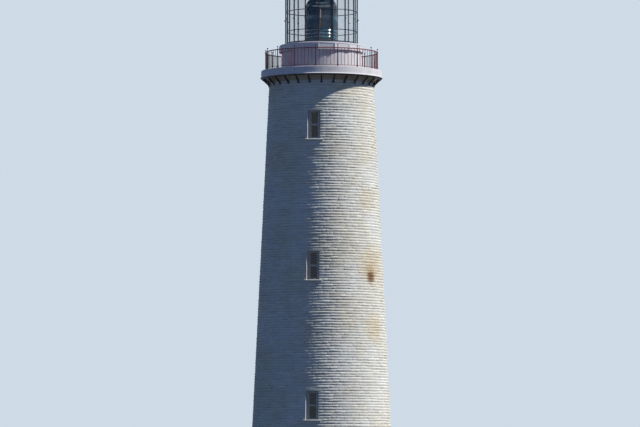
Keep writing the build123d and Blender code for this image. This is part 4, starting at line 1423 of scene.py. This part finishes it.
# the upper part of the edge bar is nearly white brass, a painted highlight
for name, low, high, metal in (("dull_panel_edge", belt_low + 0.020, HIGHLIGHT_LOW, lens_bronze),
                               ("panel_edge_painted_highlight", HIGHLIGHT_LOW, HIGHLIGHT_HIGH, pale_brass_painted_highlight)):
    edge_bar = half_round(EDGE_BAR_WIDTH, EDGE_BAR_FRONT, EDGE_BAR_DEPTH, low, high,
                          EDGE_BAR_ROUND)
    edge_bar.name = name
    finish(turned_by(edge_bar, EDGE_BAR_ANGLE), "lens_brass", metal)
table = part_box("lens_column")[1].z
column = lathe("moulded_lens_column", [
    (0.0, deck + CLEAR), (0.520, deck + CLEAR), (0.520, deck + 0.070), (0.495, deck + 0.090),
    (0.470, deck + 0.100), (0.400, deck + 0.122), (0.360, deck + 0.160), (0.340, deck + 0.220),
    (0.336, table - 0.330), (0.356, table - 0.310), (0.356, table - 0.280), (0.340, table - 0.262),
    (0.346, table - 0.215), (0.400, table - 0.140), (0.515, table - 0.074), (0.970, table - 0.070),
    (0.998, table - 0.056), (0.998, table - 0.012), (0.986, table), (0.0, table),
], COLUMN_STEPS)
finish(column, "column_paint", column_green, "lens_column")

# %% [markdown]
# The roof is sheet metal in sixteen gores. A rolled joint covers every corner: a small ring is set
# at the foot of the dome, spun up a true quarter circle and then flattened to the dome's rise. The
# flattening has to work from the foot's level, so it is given its centre. Without that it would
# work from the middle of the joint and lift it off the roof.

# %% Roof
GUTTER_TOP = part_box("roof_gutter")[1].z
ROOF_RADIUS = 2.330
ROOF_RISE = 1.350
ROLL = 0.030
ROLL_STEPS = 14
ROLL_SWING = math.radians(80)

eased("roof_gutter", "moulded_roof_gutter", roof_dark, "roof_paint", 0.012, 3)
eased("roof_dome", "sheet_roof_gores", roof_dark, "roof_paint", 0.002, 1, smooth=18)

bpy.ops.object.select_all(action="DESELECT")
bpy.ops.mesh.primitive_circle_add(vertices=8, radius=ROLL, location=(0.0, 0.0, 0.0))
roll = bpy.context.object
bpy.ops.object.mode_set(mode="EDIT")
bpy.ops.mesh.select_all(action="SELECT")
bpy.ops.transform.translate(value=(0.0, -ROOF_RADIUS, 0.0))
bpy.ops.mesh.spin(steps=ROLL_STEPS, angle=ROLL_SWING, center=(0.0, 0.0, 0.0),
                  axis=(1.0, 0.0, 0.0))
bpy.ops.mesh.select_all(action="SELECT")
bpy.ops.mesh.fill_holes(sides=0)
bpy.ops.mesh.select_all(action="SELECT")
bpy.ops.transform.resize(value=(1.0, 1.0, ROOF_RISE / ROOF_RADIUS),
                         center_override=(0.0, 0.0, 0.0))
bpy.ops.transform.translate(value=(0.0, 0.0, GUTTER_TOP))
bpy.ops.mesh.normals_make_consistent(inside=False)
done()
heights = [vertex.co.z for vertex in roll.data.vertices]
print("a roll runs from", round(min(heights), 2), "to", round(max(heights), 2), "m")
finish(ring_of("rolled_roof_joints", roll, CORNERS), "roof_paint", roof_dark)

# %% [markdown]
# The ventilator lets the lamp's heat out. It is turned: a flared collar on the dome, a neck, and a
# ball with a flat rolled band round its middle. A copper rod stands on top.

# %% Ventilator and rod
BALL = 0.380
BAND = BALL + 0.014
VENT_STEPS = 48
collar, ball_top = (corner.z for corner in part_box("roof_ventilator"))
neck = collar + 0.260
centre = neck + 0.304


def ball_point(degrees):
    """A point of the ball's outline, at an angle from its top."""
    swing = math.radians(degrees)
    return BALL * math.sin(swing), centre + BALL * math.cos(swing)


profile = [
    (0.0, collar), (0.470, collar), (0.478, collar + 0.020), (0.462, collar + 0.040),
    (0.400, collar + 0.075), (0.330, collar + 0.150), (0.275, neck - 0.050), (0.262, neck - 0.020),
]
profile += [ball_point(degrees) for degrees in range(145, 95, -10)]
profile += [(BALL, centre - 0.022), (BAND, centre - 0.014), (BAND, centre + 0.014),
            (BALL, centre + 0.022)]
profile += [ball_point(degrees) for degrees in range(85, 5, -10)] + [(0.0, ball_top)]
ventilator = lathe("turned_roof_ventilator", profile, VENT_STEPS)
finish(ventilator, "roof_paint", roof_dark, "roof_ventilator", smooth=30)
coat(rod_copper, "roof_rod")

# %% [markdown]
# Last, the height of the dressed model is printed.

# %% Print the height
low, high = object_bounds()
print("visual height:", round(high.z, 2))
